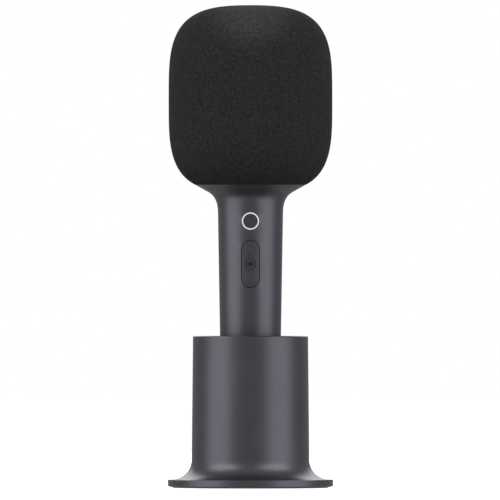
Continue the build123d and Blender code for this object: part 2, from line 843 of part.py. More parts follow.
# Rubber half roll between the cone and the basket's flange
roll_inner = cone_radius
roll_outer = flange_bore + 0.2
roll_height = 1.5
roll_land = 0.8                     # glued to the basket's flange
roll_lap = 1.0                      # glued to the cone's rim
roll_thickness = 0.5
with BuildPart() as speaker_surround:
    with BuildSketch(Plane.XZ):
        with BuildLine():
            roll_mid = (roll_inner + roll_outer) / 2
            land_end = roll_outer + roll_land
            lap_end = roll_inner - roll_lap
            roll_upper = cone_top + roll_thickness
            ThreePointArc(
                (roll_inner, cone_top), (roll_mid, cone_top + roll_height), (roll_outer, cone_top)
            )
            Polyline(
                (roll_outer, cone_top),
                (land_end, cone_top),
                (land_end, roll_upper),
                (roll_outer, roll_upper),
            )
            ThreePointArc(
                (roll_outer, roll_upper), (roll_mid, roll_upper + roll_height), (roll_inner, roll_upper)
            )
            Polyline(
                (roll_inner, roll_upper),
                (lap_end, roll_upper),
                (lap_end, cone_top),
                (roll_inner, cone_top),
            )
        make_face()
    revolve(axis=Axis.Z)
speaker_surround.part.label = "speaker_surround"
export_step(speaker_surround.part, "parts/speaker_surround.step")

# Corrugated cloth spider that centres the coil
spider_rolls = 3
spider_height = 0.7
spider_cloth = 0.3
spider_pitch = (spider_radius - coil_outer) / spider_rolls


def spider_edge(z):
    """One face of the spider: rolls that rise and fall in turn."""
    for i in range(spider_rolls):
        start = coil_outer + i * spider_pitch
        side = 1 if i % 2 == 0 else -1
        ThreePointArc(
            (start, z), (start + spider_pitch / 2, z + side * spider_height), (start + spider_pitch, z)
        )


with BuildPart() as speaker_spider:
    with BuildSketch(Plane.XZ):
        with BuildLine():
            spider_edge(spider_z)
            spider_edge(spider_z + spider_cloth)
            Line((coil_outer, spider_z), (coil_outer, spider_z + spider_cloth))
            Line((spider_radius, spider_z), (spider_radius, spider_z + spider_cloth))
        make_face()
    revolve(axis=Axis.Z)
speaker_spider.part.label = "speaker_spider"
export_step(speaker_spider.part, "parts/speaker_spider.step")

# ================================================================ microphone capsule
capsule_z = mid_z + capsule_rise
capsule_chamfer = 0.5
inlet_circle = 3.6
inlet_radius = 0.8
inlet_depth = 0.6
with BuildPart() as mic_capsule:
    with BuildSketch(Plane.XY.offset(capsule_z)):
        Circle(capsule_radius)
    extrude(amount=capsule_height)
    chamfer(mic_capsule.edges().group_by(Axis.Z)[-1], length=capsule_chamfer)
    with BuildSketch(Plane.XY.offset(capsule_z + capsule_height)):
        with PolarLocations(inlet_circle, 6):
            Circle(inlet_radius)
        Circle(inlet_radius)
    extrude(amount=-inlet_depth, mode=Mode.SUBTRACT)
mic_capsule.part.label = "mic_capsule"
export_step(mic_capsule.part, "parts/mic_capsule.step")

boot_outer = capsule_radius + capsule_boot_wall
boot_floor = 1.2
boot_top_z = capsule_z + capsule_height - 1.5
boot_lip = 1.5                      # how far the boot's floor reaches in under the capsule
with BuildPart() as capsule_boot:
    with BuildSketch(Plane.XZ):
        ring_of(capsule_radius, boot_outer, capsule_z - boot_floor, boot_top_z)
        ring_of(capsule_radius - boot_lip, boot_outer, capsule_z - boot_floor, capsule_z)
    revolve(axis=Axis.Z)
capsule_boot.part.label = "capsule_boot"
export_step(capsule_boot.part, "parts/capsule_boot.step")

# Three-legged bridge that carries the capsule over the loudspeaker
hub_wall = 1.8
hub_low = capsule_z + 0.5
hub_height = 6.0
leg_foot_radius = bowl_radius - ring_wall / 2
leg_foot_z = speaker_z + ring_height
leg_top_radius = boot_outer + hub_wall / 2
leg_width = 3.6
leg_thickness = 2.0
with BuildPart() as capsule_bridge:
    with BuildSketch(Plane.XZ):
        ring_of(boot_outer, boot_outer + hub_wall, hub_low, hub_low + hub_height)
    revolve(axis=Axis.Z)
    for side in (90, 210, 330):
        across = Plane.XZ.rotated((0, 0, side))
        with BuildSketch(across):
            with BuildLine():
                Polyline(
                    (leg_foot_radius, leg_foot_z),
                    (leg_foot_radius - 3.0, leg_foot_z),
                    (leg_top_radius, hub_low),
                    (leg_top_radius, hub_low + leg_thickness + 1.0),
                    (leg_foot_radius, leg_foot_z + 2.0),
                    (leg_foot_radius, leg_foot_z),
                )
            make_face()
        extrude(amount=leg_width / 2, both=True)
capsule_bridge.part.label = "capsule_bridge"
export_step(capsule_bridge.part, "parts/capsule_bridge.step")

# ================================================================ keys
board_to_pivot = 2.4
board_front = pivot_depth - board_to_pivot      # key board's front face, in front of the axis
switch_height = 1.4
switch_front = board_front + switch_height
key_board_length = 44.0
key_board_foot = rocker_z - 15.0
key_board_corner = 0.8
key_board_middle = key_board_foot + key_board_length / 2
wall_inside = 5.15
wall_outside = 6.45
key_plate_front = board_front - board_thickness
key_plate = 1.2                     # the key frame's back wall
key_plate_back = key_plate_front - key_plate
key_stem_radius = 1.5

# Clear ring lit from behind, lying flush in the handle
ring_back = board_front + 0.8       # just in front of the lamps
flange_depth = 14.0                 # the ring's step, in front of the axis
collar_thickness = 1.2
collar_back = flange_depth - collar_thickness
collar_bore = ring_outer_radius - ring_width + ring_step
with BuildPart() as light_ring:
    with BuildSketch(Plane.XZ.offset(ring_back)):
        with Locations((0, power_z)):
            Circle(ring_outer_radius)
            Circle(ring_outer_radius - ring_width, mode=Mode.SUBTRACT)
    extrude(amount=2 * handle_neck_radius)
    with BuildSketch(Plane.XZ.offset(ring_back)):
        with Locations((0, power_z)):
            Circle(collar_bore)
    extrude(amount=flange_depth - ring_back, mode=Mode.SUBTRACT)
    add(handle_core.part, mode=Mode.INTERSECT)
light_ring.part.label = "light_ring"
export_step(light_ring.part, "parts/light_ring.step")

# Power key, kept in by its collar behind the ring's step
with BuildPart() as power_button:
    with BuildSketch(Plane.XZ.offset(collar_back)):
        with Locations((0, power_z)):
            Circle(power_radius)
    extrude(amount=2 * handle_neck_radius)
    add(handle_core.part, mode=Mode.INTERSECT)
    with BuildSketch(Plane.XZ.offset(collar_back)):
        with Locations((0, power_z)):
            Circle(collar_bore - collar_gap)
    extrude(amount=collar_thickness - slip_gap)
    with BuildSketch(Plane.XZ.offset(switch_front + key_travel + key_spare)):
        with Locations((0, power_z)):
            Circle(key_stem_radius)
    extrude(amount=collar_back - switch_front - key_travel)
power_button.part.label = "power_button"
export_step(power_button.part, "parts/power_button.step")

# Volume rocker: a long pill that tips about two stub pivots
rocker_back = pivot_depth - 0.6
effect_hole = effect_radius + effect_gap
pocket_length = 6.0                 # hollows behind the rocker, round its stems
pocket_width = 5.0
pocket_depth = 1.8
rocker_stem_radius = 1.0
rocker_stem_spare = 0.05            # less gap than the round keys have, because the stems swing
pivot_root = 0.3                    # how far the pivots' roots lie inside the rocker
with BuildPart() as volume_rocker:
    with BuildSketch(Plane.XZ.offset(rocker_back)):
        with Locations((0, rocker_z)):
            SlotOverall(rocker_length, rocker_width, rotation=90)
    extrude(amount=2 * handle_neck_radius)
    add(handle_core.part, mode=Mode.INTERSECT)
    with BuildSketch(Plane.XZ.offset(rocker_back)):
        with Locations((0, rocker_z)):
            Circle(effect_hole)
        with Locations((0, rocker_z + switch_pitch), (0, rocker_z - switch_pitch)):
            SlotOverall(pocket_length, pocket_width, rotation=90)
    extrude(amount=pocket_depth, mode=Mode.SUBTRACT)
    with BuildSketch(Plane.XZ.offset(rocker_back)):
        with Locations((0, rocker_z)):
            Circle(effect_hole)
    extrude(amount=2 * handle_neck_radius, mode=Mode.SUBTRACT)
    with BuildSketch(Plane.XZ.offset(switch_front + key_travel - rocker_stem_spare)):
        with Locations((0, rocker_z + switch_pitch), (0, rocker_z - switch_pitch)):
            Circle(rocker_stem_radius)
    extrude(amount=rocker_back + pocket_depth - switch_front)
    with BuildSketch(Plane.YZ.offset(rocker_width / 2 - pivot_root)):
        with Locations((-pivot_depth, rocker_z)):
            Circle(pivot_radius)
    extrude(amount=wall_outside - rocker_width / 2)
    with BuildSketch(Plane.YZ.offset(-rocker_width / 2 + pivot_root)):
        with Locations((-pivot_depth, rocker_z)):
            Circle(pivot_radius)
    extrude(amount=-(wall_outside - rocker_width / 2))
volume_rocker.part.label = "volume_rocker"
export_step(volume_rocker.part, "parts/volume_rocker.step")

# Effect key, passing through the rocker's middle
effect_back = rocker_back + 1.0
effect_stem_radius = 1.3
with BuildPart() as effect_button:
    with BuildSketch(Plane.XZ.offset(effect_back)):
        with Locations((0, rocker_z)):
            Circle(effect_radius)
    extrude(amount=2 * handle_neck_radius)
    add(handle_core.part, mode=Mode.INTERSECT)
    with BuildSketch(Plane.XZ.offset(switch_front + key_travel + key_spare)):
        with Locations((0, rocker_z)):
            Circle(effect_stem_radius)
    extrude(amount=effect_back - switch_front - key_travel)
effect_button.part.label = "effect_button"
export_step(effect_button.part, "parts/effect_button.step")

# Key board with its switches and the ring's lamps
with BuildPart() as key_board:
    with BuildSketch(Plane.XZ.offset(key_plate_front)):
        with Locations((0, key_board_middle)):
            RectangleRounded(2 * (wall_inside - slip_gap), key_board_length, key_board_corner)
    extrude(amount=board_thickness)
key_board.part.label = "key_board"
export_step(key_board.part, "parts/key_board.step")

switch_places = [
    (0, power_z),
    (0, rocker_z + switch_pitch),
    (0, rocker_z),
    (0, rocker_z - switch_pitch),
]
switch_size = 3.2
switch_corner = 0.4
switch_can_share = 0.7              # of the switch's height; the rest is its button
switch_button_radius = 0.9
lamp_circle = 3.6
lamp_size = 1.0
lamp_height = 0.6
with BuildPart() as key_switches:
    with BuildSketch(Plane.XZ.offset(board_front)):
        with Locations(switch_places):
            RectangleRounded(switch_size, switch_size, switch_corner)
    extrude(amount=switch_height * switch_can_share)
    with BuildSketch(Plane.XZ.offset(board_front)):
        with Locations(switch_places):
            Circle(switch_button_radius)
    extrude(amount=switch_height)
key_switches.part.label = "key_switches"
export_step(key_switches.part, "parts/key_switches.step")

with BuildPart() as ring_lamps:
    with BuildSketch(Plane.XZ.offset(board_front)):
        with Locations((0, power_z)):
            with PolarLocations(lamp_circle, 4, start_angle=45):
                Rectangle(lamp_size, lamp_size)
    extrude(amount=lamp_height)
ring_lamps.part.label = "ring_lamps"
export_step(ring_lamps.part, "parts/ring_lamps.step")

# Key frame: a channel round the board, with the rocker's pivot sockets in its walls
post_radius = 1.9
post_places = [(0, key_board_foot - 2.4), (0, power_z - 8.2)]
main_board_front = -1.0             # front face of the main board, in front of the axis
with BuildPart() as key_frame:
    frame_length = key_board_length + 4.5
    frame_middle = key_board_middle - 2.0
    with BuildSketch(Plane.XZ.offset(key_plate_back)):
        with Locations((0, frame_middle)):
            Rectangle(2 * wall_outside, frame_length)
    extrude(amount=key_plate_front - key_plate_back)
    with BuildSketch(Plane.XZ.offset(key_plate_back)):
        for side in (-1, 1):
            with Locations((side * (wall_inside + wall_outside) / 2, frame_middle)):
                Rectangle(wall_outside - wall_inside, frame_length)
    extrude(amount=handle_neck_radius)
    add(handle_hollow.part, mode=Mode.INTERSECT)
    with BuildSketch(Plane.YZ.offset(-handle_neck_radius)):
        with Locations((-pivot_depth, rocker_z)):
            Circle(pivot_radius + pivot_gap)
    extrude(amount=2 * handle_neck_radius, mode=Mode.SUBTRACT)
    with BuildSketch(Plane.XZ.offset(key_plate_back)):
        with Locations(post_places):
            Circle(post_radius)
    extrude(amount=-(key_plate_back - main_board_front))
    with BuildSketch(Plane.XZ.offset(main_board_front)):
        with Locations(post_places):
            Circle(m16_screw.shank + thread_gap)
    extrude(amount=m16_length, mode=Mode.SUBTRACT)
key_frame.part.label = "key_frame"
export_step(key_frame.part, "parts/key_frame.step")

# ================================================================ electronics
cap_plate = 3.0
cap_skirt = 1.2                     # wall of the skirt above the plate
cap_boss_radius = 2.2
cap_screw_sink = 0.8                # of a screw's head below the cap's face
seal_low = foot_z + 4.2
seal_high = foot_z + 5.4
seal_depth = 0.6                    # how deep the seal's groove is
groove_slack = 0.2                  # groove past the seal at each side
seal_squeeze = 0.01                 # left between the seal and the handle's wall
cap_skirt_top = foot_z + 9.0
cap_radius_out = handle_radius(foot_z, handle_wall) - slip_gap
usb_gap = 0.2
deck_low = foot_z + 4.5             # chassis foot, above the end cap's plate
deck_thickness = 2.5
usb_board_z = deck_low + deck_thickness
socket_room = 5.2                   # over the charging board, under the cell
cell_low = usb_board_z + board_thickness + socket_room
cell_plate = 1.3
contact = 0.4
cell_base = cell_low + cell_plate + contact
cell_top = cell_base + cell_length
cap_screw_x = 8.4

with BuildPart() as end_cap:
    with BuildSketch(Plane.XY.offset(foot_z)):
        Circle(cap_radius_out)
    extrude(amount=cap_plate)
    with BuildSketch(Plane.XY.offset(foot_z + cap_plate)):
        Circle(cap_radius_out)
        Circle(cap_radius_out - cap_skirt, mode=Mode.SUBTRACT)
    extrude(amount=cap_skirt_top - foot_z - cap_plate)
    # bosses that the chassis foot stands on
    with BuildSketch(Plane.XY.offset(foot_z + cap_plate)):
        with Locations((cap_screw_x, 0), (-cap_screw_x, 0)):
            Circle(cap_boss_radius)
    extrude(amount=deck_low - foot_z - cap_plate)
    # groove for the seal
    with BuildSketch(Plane.XZ):
        groove_bottom = cap_radius_out - seal_depth
        ring_of(groove_bottom, cap_radius_out + 1, seal_low - groove_slack, seal_high + groove_slack)
    revolve(axis=Axis.Z, mode=Mode.SUBTRACT)
    with BuildSketch(Plane.XY.offset(foot_z)):
        SlotOverall(usb_width + 2 * usb_gap, usb_height + 2 * usb_gap)
        with Locations((cap_screw_x, 0), (-cap_screw_x, 0)):
            Circle(m16_screw.shank + head_gap)
    extrude(amount=deck_low - foot_z, mode=Mode.SUBTRACT)
    with BuildSketch(Plane.XY.offset(foot_z)):
        with Locations((cap_screw_x, 0), (-cap_screw_x, 0)):
            Circle(m16_screw.head + head_gap)
    extrude(amount=m16_screw.height + cap_screw_sink, mode=Mode.SUBTRACT)
end_cap.part.label = "end_cap"
export_step(end_cap.part, "parts/end_cap.step")

with BuildPart() as end_seal:
    with BuildSketch(Plane.XZ):
        seal_outer = handle_radius(seal_low, handle_wall) - seal_squeeze
        ring_of(cap_radius_out - seal_depth, seal_outer, seal_low, seal_high)
    revolve(axis=Axis.Z)
end_seal.part.label = "end_seal"
export_step(end_seal.part, "parts/end_seal.step")

# Chassis: foot disc, a half tube up the back of the handle, shelves and board posts
board_back = main_board_front - board_thickness
main_board_low = cell_top + contact + cell_plate + 2.0
main_board_high = ledge_z - ledge_thickness - 3.0
main_board_half = 10.5
main_board_corner = 1.0
post_x = 7.5
post_margin = 4.0                   # posts from the board's ends
back_posts = [
    (post_x, main_board_low + post_margin),
    (-post_x, main_board_low + post_margin),
    (post_x, main_board_high - post_margin),
    (-post_x, main_board_high - post_margin),
]
rib_margin = 12.0                   # cradle ribs from the cell's ends
rib_thickness = 2.0
shelf_front = 3.0                   # the shelves' front edge, in front of the axis
rib_front = -4.0                    # and the ribs', behind it
half_tube_turn = 15.0
tube_outer = handle_wall + frame_gap
tube_inner = tube_outer + frame_wall
tube_low = cap_skirt_top + 0.4
deck_radius = cap_radius_out - cap_skirt - slip_gap
column_width = 10.0
column_depth = 3.4
column_y = cap_radius_out - 3.2

# Solid that the chassis's shelves, ribs and posts are trimmed to: it ends half way into the tube's wall
with BuildPart() as chassis_plug:
    with BuildSketch(Plane.XZ):
        with BuildLine():
            plug_inset = tube_outer + frame_wall / 2
            Polyline(
                (0, tube_low),
                (handle_radius(tube_low, plug_inset), tube_low),
                (handle_radius(main_board_high, plug_inset), main_board_high),
                (0, main_board_high),
                (0, tube_low),
            )
        make_face()
    revolve(axis=Axis.Z)

with BuildPart() as chassis_shelves:
    # shelves below and above the cell
    for shelf_z in (cell_low, cell_top + contact):
        with BuildSketch(Plane.XY.offset(shelf_z)):
            with Locations((0, handle_neck_radius - shelf_front)):
                Rectangle(2 * handle_neck_radius, 2 * handle_neck_radius)
        extrude(amount=cell_plate)
    # cradle ribs behind the cell
    for rib_z in (cell_base + rib_margin, cell_top - rib_margin):
        with BuildSketch(Plane.XY.offset(rib_z)):
            with Locations((0, handle_neck_radius - rib_front)):
                Rectangle(2 * handle_neck_radius, 2 * handle_neck_radius)
            Circle(cell_radius + slip_gap, mode=Mode.SUBTRACT)
        extrude(amount=rib_thickness)
    # posts that the main board is screwed to
    with BuildSketch(Plane.XZ.offset(board_back)):
        with Locations(back_posts):
            Circle(post_radius)
    extrude(amount=-handle_neck_radius)
    add(chassis_plug.part, mode=Mode.INTERSECT)

with BuildPart() as internal_frame:
    with BuildSketch(Plane.XZ.rotated((0, 0, half_tube_turn))):
        with BuildLine():
            Polyline(
                (handle_radius(tube_low, tube_outer), tube_low),
                (handle_radius(main_board_high, tube_outer), main_board_high),
                (handle_radius(main_board_high, tube_inner), main_board_high),
                (handle_radius(tube_low, tube_inner), tube_low),
                (handle_radius(tube_low, tube_outer), tube_low),
            )
        make_face()
    revolve(axis=Axis.Z, revolution_arc=180 - 2 * half_tube_turn)
    add(chassis_shelves.part)
    # foot disc inside the end cap's skirt, and the column that joins it to the lower shelf
    with BuildSketch(Plane.XY.offset(deck_low)):
        Circle(deck_radius)
        SlotOverall(usb_width + 2 * usb_gap, usb_height + 2 * usb_gap, mode=Mode.SUBTRACT)
        with Locations((cap_screw_x, 0), (-cap_screw_x, 0)):
            Circle(m16_screw.shank + thread_gap, mode=Mode.SUBTRACT)
    extrude(amount=deck_thickness)
    with BuildSketch(Plane.XY.offset(usb_board_z)):
        with Locations((0, column_y)):
            Rectangle(column_width, column_depth)
        Circle(deck_radius - 2 * slip_gap, mode=Mode.INTERSECT)
    extrude(amount=cell_low - usb_board_z)
    with BuildSketch(Plane.XZ.offset(board_back)):
        with Locations(back_posts):
            Circle(m16_screw.shank + thread_gap)
    extrude(amount=-m16_length, mode=Mode.SUBTRACT)
internal_frame.part.label = "internal_frame"
export_step(internal_frame.part, "parts/internal_frame.step")

cell_rounding = 0.7
button_rise = 0.9                   # the cell's positive button
button_radius = 3.0
with BuildPart() as battery_cell:
    with BuildSketch(Plane.XY.offset(cell_base)):
        Circle(cell_radius)
    extrude(amount=cell_length - button_rise)
    fillet(battery_cell.edges().filter_by(GeomType.CIRCLE), radius=cell_rounding)
    with BuildSketch(Plane.XY.offset(cell_base)):
        Circle(button_radius)
    extrude(amount=cell_length)
battery_cell.part.label = "battery_cell"
export_step(battery_cell.part, "parts/battery_cell.step")

contact_radius = 4.5
tail_width = 4.0
tail_length = 5.0
with BuildPart() as cell_contacts:
    for contact_z in (cell_base - contact, cell_top):
        with BuildSketch(Plane.XY.offset(contact_z)):
            Circle(contact_radius)
            with Locations((0, -tail_length)):
                Rectangle(tail_width, tail_length)
        extrude(amount=contact)
cell_contacts.part.label = "cell_contacts"
export_step(cell_contacts.part, "parts/cell_contacts.step")

with BuildPart() as main_board:
    board_middle = (main_board_low + main_board_high) / 2
    with BuildSketch(Plane.XZ.offset(board_back)):
        with Locations((0, board_middle)):
            RectangleRounded(2 * main_board_half, main_board_high - main_board_low, main_board_corner)
        with Locations(back_posts + post_places):
            Circle(m16_screw.shank + head_gap, mode=Mode.SUBTRACT)
    extrude(amount=board_thickness)
main_board.part.label = "main_board"
export_step(main_board.part, "parts/main_board.step")

# Chips, connectors and capacitors on the main board's front: x, rise above the board's foot,
# width, height and thickness
chip_sizes = [
    (-6.2, 12.0, 6.0, 6.0, 1.2),
    (5.8, 12.5, 5.0, 7.0, 1.4),
    (0.0, 18.5, 4.0, 4.0, 1.0),
    (-7.0, 38.0, 5.0, 6.0, 1.4),
    (7.0, 38.0, 4.5, 4.5, 2.6),
    (0.0, 41.0, 6.5, 3.0, 2.4),
]
with BuildPart() as board_chips:
    for x, rise, wide, high, tall in chip_sizes:
        with BuildSketch(Plane.XZ.offset(main_board_front)):
            with Locations((x, main_board_low + rise)):
                Rectangle(wide, high)
        extrude(amount=tall)
board_chips.part.label = "board_chips"
export_step(board_chips.part, "parts/board_chips.step")

shield_rise = 28.0
shield_width = 15.0
shield_height = 11.0
shield_depth = 2.0
shield_wall = 0.3
shield_corner = 0.6
with BuildPart() as radio_shield:
    with BuildSketch(Plane.XZ.offset(main_board_front)):
        with Locations((0, main_board_low + shield_rise)):
            RectangleRounded(shield_width, shield_height, shield_corner)
    extrude(amount=shield_depth)
    with BuildSketch(Plane.XZ.offset(main_board_front)):
        with Locations((0, main_board_low + shield_rise)):
            RectangleRounded(
                shield_width - 2 * shield_wall,
                shield_height - 2 * shield_wall,
                shield_corner - shield_wall,
            )
    extrude(amount=shield_depth - shield_wall, mode=Mode.SUBTRACT)
radio_shield.part.label = "radio_shield"
export_step(radio_shield.part, "parts/radio_shield.step")

with BuildPart() as usb_board:
    with BuildSketch(Plane.XY.offset(usb_board_z)):
        Circle(cap_radius_out - cap_skirt - 1.0)
        with Locations((0, column_y)):
            Rectangle(column_width + 2 * slip_gap, column_depth + 2 * slip_gap, mode=Mode.SUBTRACT)
        with Locations((cap_screw_x, 0), (-cap_screw_x, 0)):
            Circle(m16_screw.shank + head_gap, mode=Mode.SUBTRACT)
    extrude(amount=board_thickness)
usb_board.part.label = "usb_board"
export_step(usb_board.part, "parts/usb_board.step")

# USB-C receptacle, standing on the small board, its mouth in the end cap
mouth_z = foot_z + 0.3
tongue_z = foot_z + 1.0
usb_back = 1.0                      # its closed back wall
tongue_margin = 2.2                 # shell's width past the tongue's
with BuildPart() as usb_socket:
    with BuildSketch(Plane.XY.offset(mouth_z)):
        SlotOverall(usb_width, usb_height)
        SlotOverall(usb_width - 2 * usb_wall, usb_height - 2 * usb_wall, mode=Mode.SUBTRACT)
    extrude(amount=usb_board_z - mouth_z)
    with BuildSketch(Plane.XY.offset(usb_board_z - usb_back)):
        SlotOverall(usb_width, usb_height)
    extrude(amount=usb_back)
    with BuildSketch(Plane.XY.offset(tongue_z)):
        Rectangle(usb_width - tongue_margin, usb_tongue)
    extrude(amount=usb_board_z - tongue_z)
usb_socket.part.label = "usb_socket"
export_step(usb_socket.part, "parts/usb_socket.step")


def facing_screw(screw, length, seat, direction, places):
    """Screws along Y: heads at y = -seat, shanks running in the given direction, inside a BuildPart."""
    with BuildSketch(Plane.XZ.offset(seat)) as heads:
        with Locations(places):
            Circle(screw.head)
    extrude(heads.sketch, amount=-direction * screw.height)
    with BuildSketch(Plane.XZ.offset(seat)) as shanks:
        with Locations(places):
            Circle(screw.shank)
    extrude(shanks.sketch, amount=direction * length)
    with BuildSketch(Plane.XZ.offset(seat - direction * screw.height)) as recesses:
        with Locations(places):
            RegularPolygon(drive_recess(screw), 6)
    extrude(recesses.sketch, amount=direction * screw.height / 2, mode=Mode.SUBTRACT)


with BuildPart() as board_screws:
    facing_screw(m16_screw, m16_length, main_board_front, -1, back_posts)
    facing_screw(m16_screw, m16_length, board_back, 1, post_places)
    cap_seat = foot_z + m16_screw.height + cap_screw_sink
    for x in (cap_screw_x, -cap_screw_x):
        with BuildSketch(Plane.XY.offset(cap_seat)):
            with Locations((x, 0)):
                Circle(m16_screw.head)
        extrude(amount=-m16_screw.height)
        with BuildSketch(Plane.XY.offset(cap_seat)):
            with Locations((x, 0)):
                Circle(m16_screw.shank)
        extrude(amount=m16_length)
        with BuildSketch(Plane.XY.offset(cap_seat - m16_screw.height)):
            with Locations((x, 0)):
                RegularPolygon(drive_recess(m16_screw), 6)
        extrude(amount=m16_screw.height / 2, mode=Mode.SUBTRACT)
board_screws.part.label = "board_screws"
export_step(board_screws.part, "parts/board_screws.step")

# ================================================================ leads
lead_spacing = 1.6
lead_bend = 2.0


def lead(points, bend=lead_bend):
    """One lead swept along straight runs and arcs, inside a BuildPart."""
    with BuildLine() as run:
        route = FilletPolyline(points, radius=bend)
    with BuildSketch(Plane(route @ 0, z_dir=route % 0)) as section:
        Circle(lead_radius)
    sweep(section.sketch, path=run.line)


grommet_top = bowl_floor_z + 1.5
with BuildPart() as lead_grommet:
    with BuildSketch(Plane.XZ):
        ring_of(0, grommet_radius, ledge_z, grommet_top)
        ring_of(0, grommet_radius + 1.2, bowl_floor_z, grommet_top)
    revolve(axis=Axis.Z)
    with BuildSketch(Plane.XY.offset(ledge_z)):
        with Locations((-lead_spacing, 0), (lead_spacing, 0), (0, -lead_spacing)):
            Circle(lead_radius + lead_gap)
    extrude(amount=grommet_top - ledge_z, mode=Mode.SUBTRACT)
lead_grommet.part.label = "lead_grommet"
export_step(lead_grommet.part, "parts/lead_grommet.step")

lead_end_z = main_board_high - 2.0
board_back_y = -board_back + lead_radius + thread_gap
board_front_y = -main_board_front - lead_radius - thread_gap
chamber_low = bowl_floor_z + 5.0
with BuildPart() as speaker_leads:
    for side in (-1, 1):
        lead(
            [
                (side * lead_spacing, spider_radius + 1.4, basket_seat_z + 0.8),
                (side * lead_spacing, spider_radius + 2.2, yoke_floor_z - 2.0),
                (side * lead_spacing, 8.0, chamber_low + 1.5),
                (side * lead_spacing, 0, chamber_low - 1.0),
                (side * lead_spacing, 0, ledge_z - 0.8),
                (side * lead_spacing, board_back_y, main_board_high + 1.2),
                (side * lead_spacing, board_back_y, lead_end_z),
            ]
        )
speaker_leads.part.label = "speaker_leads"
export_step(speaker_leads.part, "parts/speaker_leads.step")

with BuildPart() as capsule_lead:
    lead(
        [
            (0, -3.0, capsule_z),
            (0, -3.0, capsule_z - 4.0),
            (0, -capsule_lead_circle + 4.0, speaker_z + 12.0),
            (0, -capsule_lead_circle, speaker_z + 5.0),
            (0, -capsule_lead_circle, speaker_z - 8.0),
            (0, -capsule_lead_circle + 6.0, bowl_floor_z + 18.0),
            (0, -9.0, chamber_low + 1.0),
            (0, -lead_spacing, chamber_low - 1.0),
            (0, -lead_spacing, ledge_z - 3.0),
            (0, board_front_y, lead_end_z - 2.0),
        ]
    )
capsule_lead.part.label = "capsule_lead"
export_step(capsule_lead.part, "parts/capsule_lead.step")

tab_x = 1.2
tab_y = -6.5
tab_offset = contact + lead_radius + thread_gap
cell_lead_x = 5.0
cell_lead_y = -9.6
with BuildPart() as battery_leads:
    for side, lead_start in ((-1, cell_base - tab_offset), (1, cell_top + tab_offset)):
        lead(
            [
                (side * tab_x, tab_y, lead_start),
                (side * cell_lead_x, cell_lead_y, lead_start),
                (side * cell_lead_x, cell_lead_y, cell_top + 4.2),
                (side * (cell_lead_x - 0.6), board_front_y, main_board_low + 1.5),
                (side * (cell_lead_x - 0.6), board_front_y, main_board_low + 6.0),
            ],
            0.9,
        )
battery_leads.part.label = "battery_leads"
export_step(battery_leads.part, "parts/battery_leads.step")

# Flat ribbon from the key board's foot to the main board
ribbon_thickness = 0.3
with BuildPart() as key_ribbon:
    with BuildSketch(Plane.YZ.offset(-3)):
        with BuildLine():
            Polyline(
                (-board_front - ribbon_thickness / 2, key_board_foot + 3),
                (-board_front - ribbon_thickness / 2, key_board_foot - 8),
                (main_board_front - 2.0, key_board_foot - 8),
                (main_board_front - ribbon_thickness / 2, key_board_foot - 6),
            )
        trace(line_width=ribbon_thickness)
    extrude(amount=6)
key_ribbon.part.label = "key_ribbon"
export_step(key_ribbon.part, "parts/key_ribbon.step")
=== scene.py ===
"""The looks of a karaoke microphone standing in its holder: a knitted head cover stretched over
the cage, satin dark metal, a lit power ring and marked keys, in a plain white studio.
Metres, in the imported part's own frame."""

import json
import math

import bmesh
import bpy
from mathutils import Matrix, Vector
from mathutils.bvhtree import BVHTree


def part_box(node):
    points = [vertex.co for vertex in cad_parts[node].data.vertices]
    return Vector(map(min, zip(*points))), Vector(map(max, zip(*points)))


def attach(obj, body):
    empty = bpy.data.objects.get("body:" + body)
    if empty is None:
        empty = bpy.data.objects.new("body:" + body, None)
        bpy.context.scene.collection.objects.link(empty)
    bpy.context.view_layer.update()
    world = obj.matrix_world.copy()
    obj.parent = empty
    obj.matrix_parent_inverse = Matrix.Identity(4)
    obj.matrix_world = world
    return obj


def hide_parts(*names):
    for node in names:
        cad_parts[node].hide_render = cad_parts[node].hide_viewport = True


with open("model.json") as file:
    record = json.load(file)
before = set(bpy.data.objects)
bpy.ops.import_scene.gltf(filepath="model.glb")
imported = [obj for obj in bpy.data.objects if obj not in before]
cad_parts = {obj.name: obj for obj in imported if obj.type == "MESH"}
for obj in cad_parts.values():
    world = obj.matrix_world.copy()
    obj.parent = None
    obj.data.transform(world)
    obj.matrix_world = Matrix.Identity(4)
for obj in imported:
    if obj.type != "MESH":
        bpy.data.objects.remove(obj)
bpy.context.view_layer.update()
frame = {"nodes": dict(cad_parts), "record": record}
NODES = frame["nodes"]

# ------------------------------------------------------------------ camera
LENS_MM = 1400.0
SENSOR_MM = 36.0
VIEW_SIZE = 0.2593          # metres across the picture at the object
VIEW_CENTRE = (-0.00025, 0.0, 0.1232)
CLIP_END = 100.0            # metres; beyond the far edge of the floor

camera_data = bpy.data.cameras.new("camera")
camera_data.lens = LENS_MM
camera_data.sensor_width = SENSOR_MM
camera_data.clip_end = CLIP_END
camera = bpy.data.objects.new("camera", camera_data)
bpy.context.collection.objects.link(camera)
camera.location = (VIEW_CENTRE[0], -VIEW_SIZE * LENS_MM / SENSOR_MM, VIEW_CENTRE[2])
camera.rotation_euler = (math.pi / 2, 0, 0)
bpy.context.scene.camera = camera
bpy.context.scene.view_settings.view_transform = "Standard"


# ------------------------------------------------------------------ sizes read from the frame
def node_box(name):
    """The lowest and highest corner of a CAD node's box."""
    low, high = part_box(name)
    return Vector(low), Vector(high)


fabric_low, fabric_high = node_box("head_fabric")


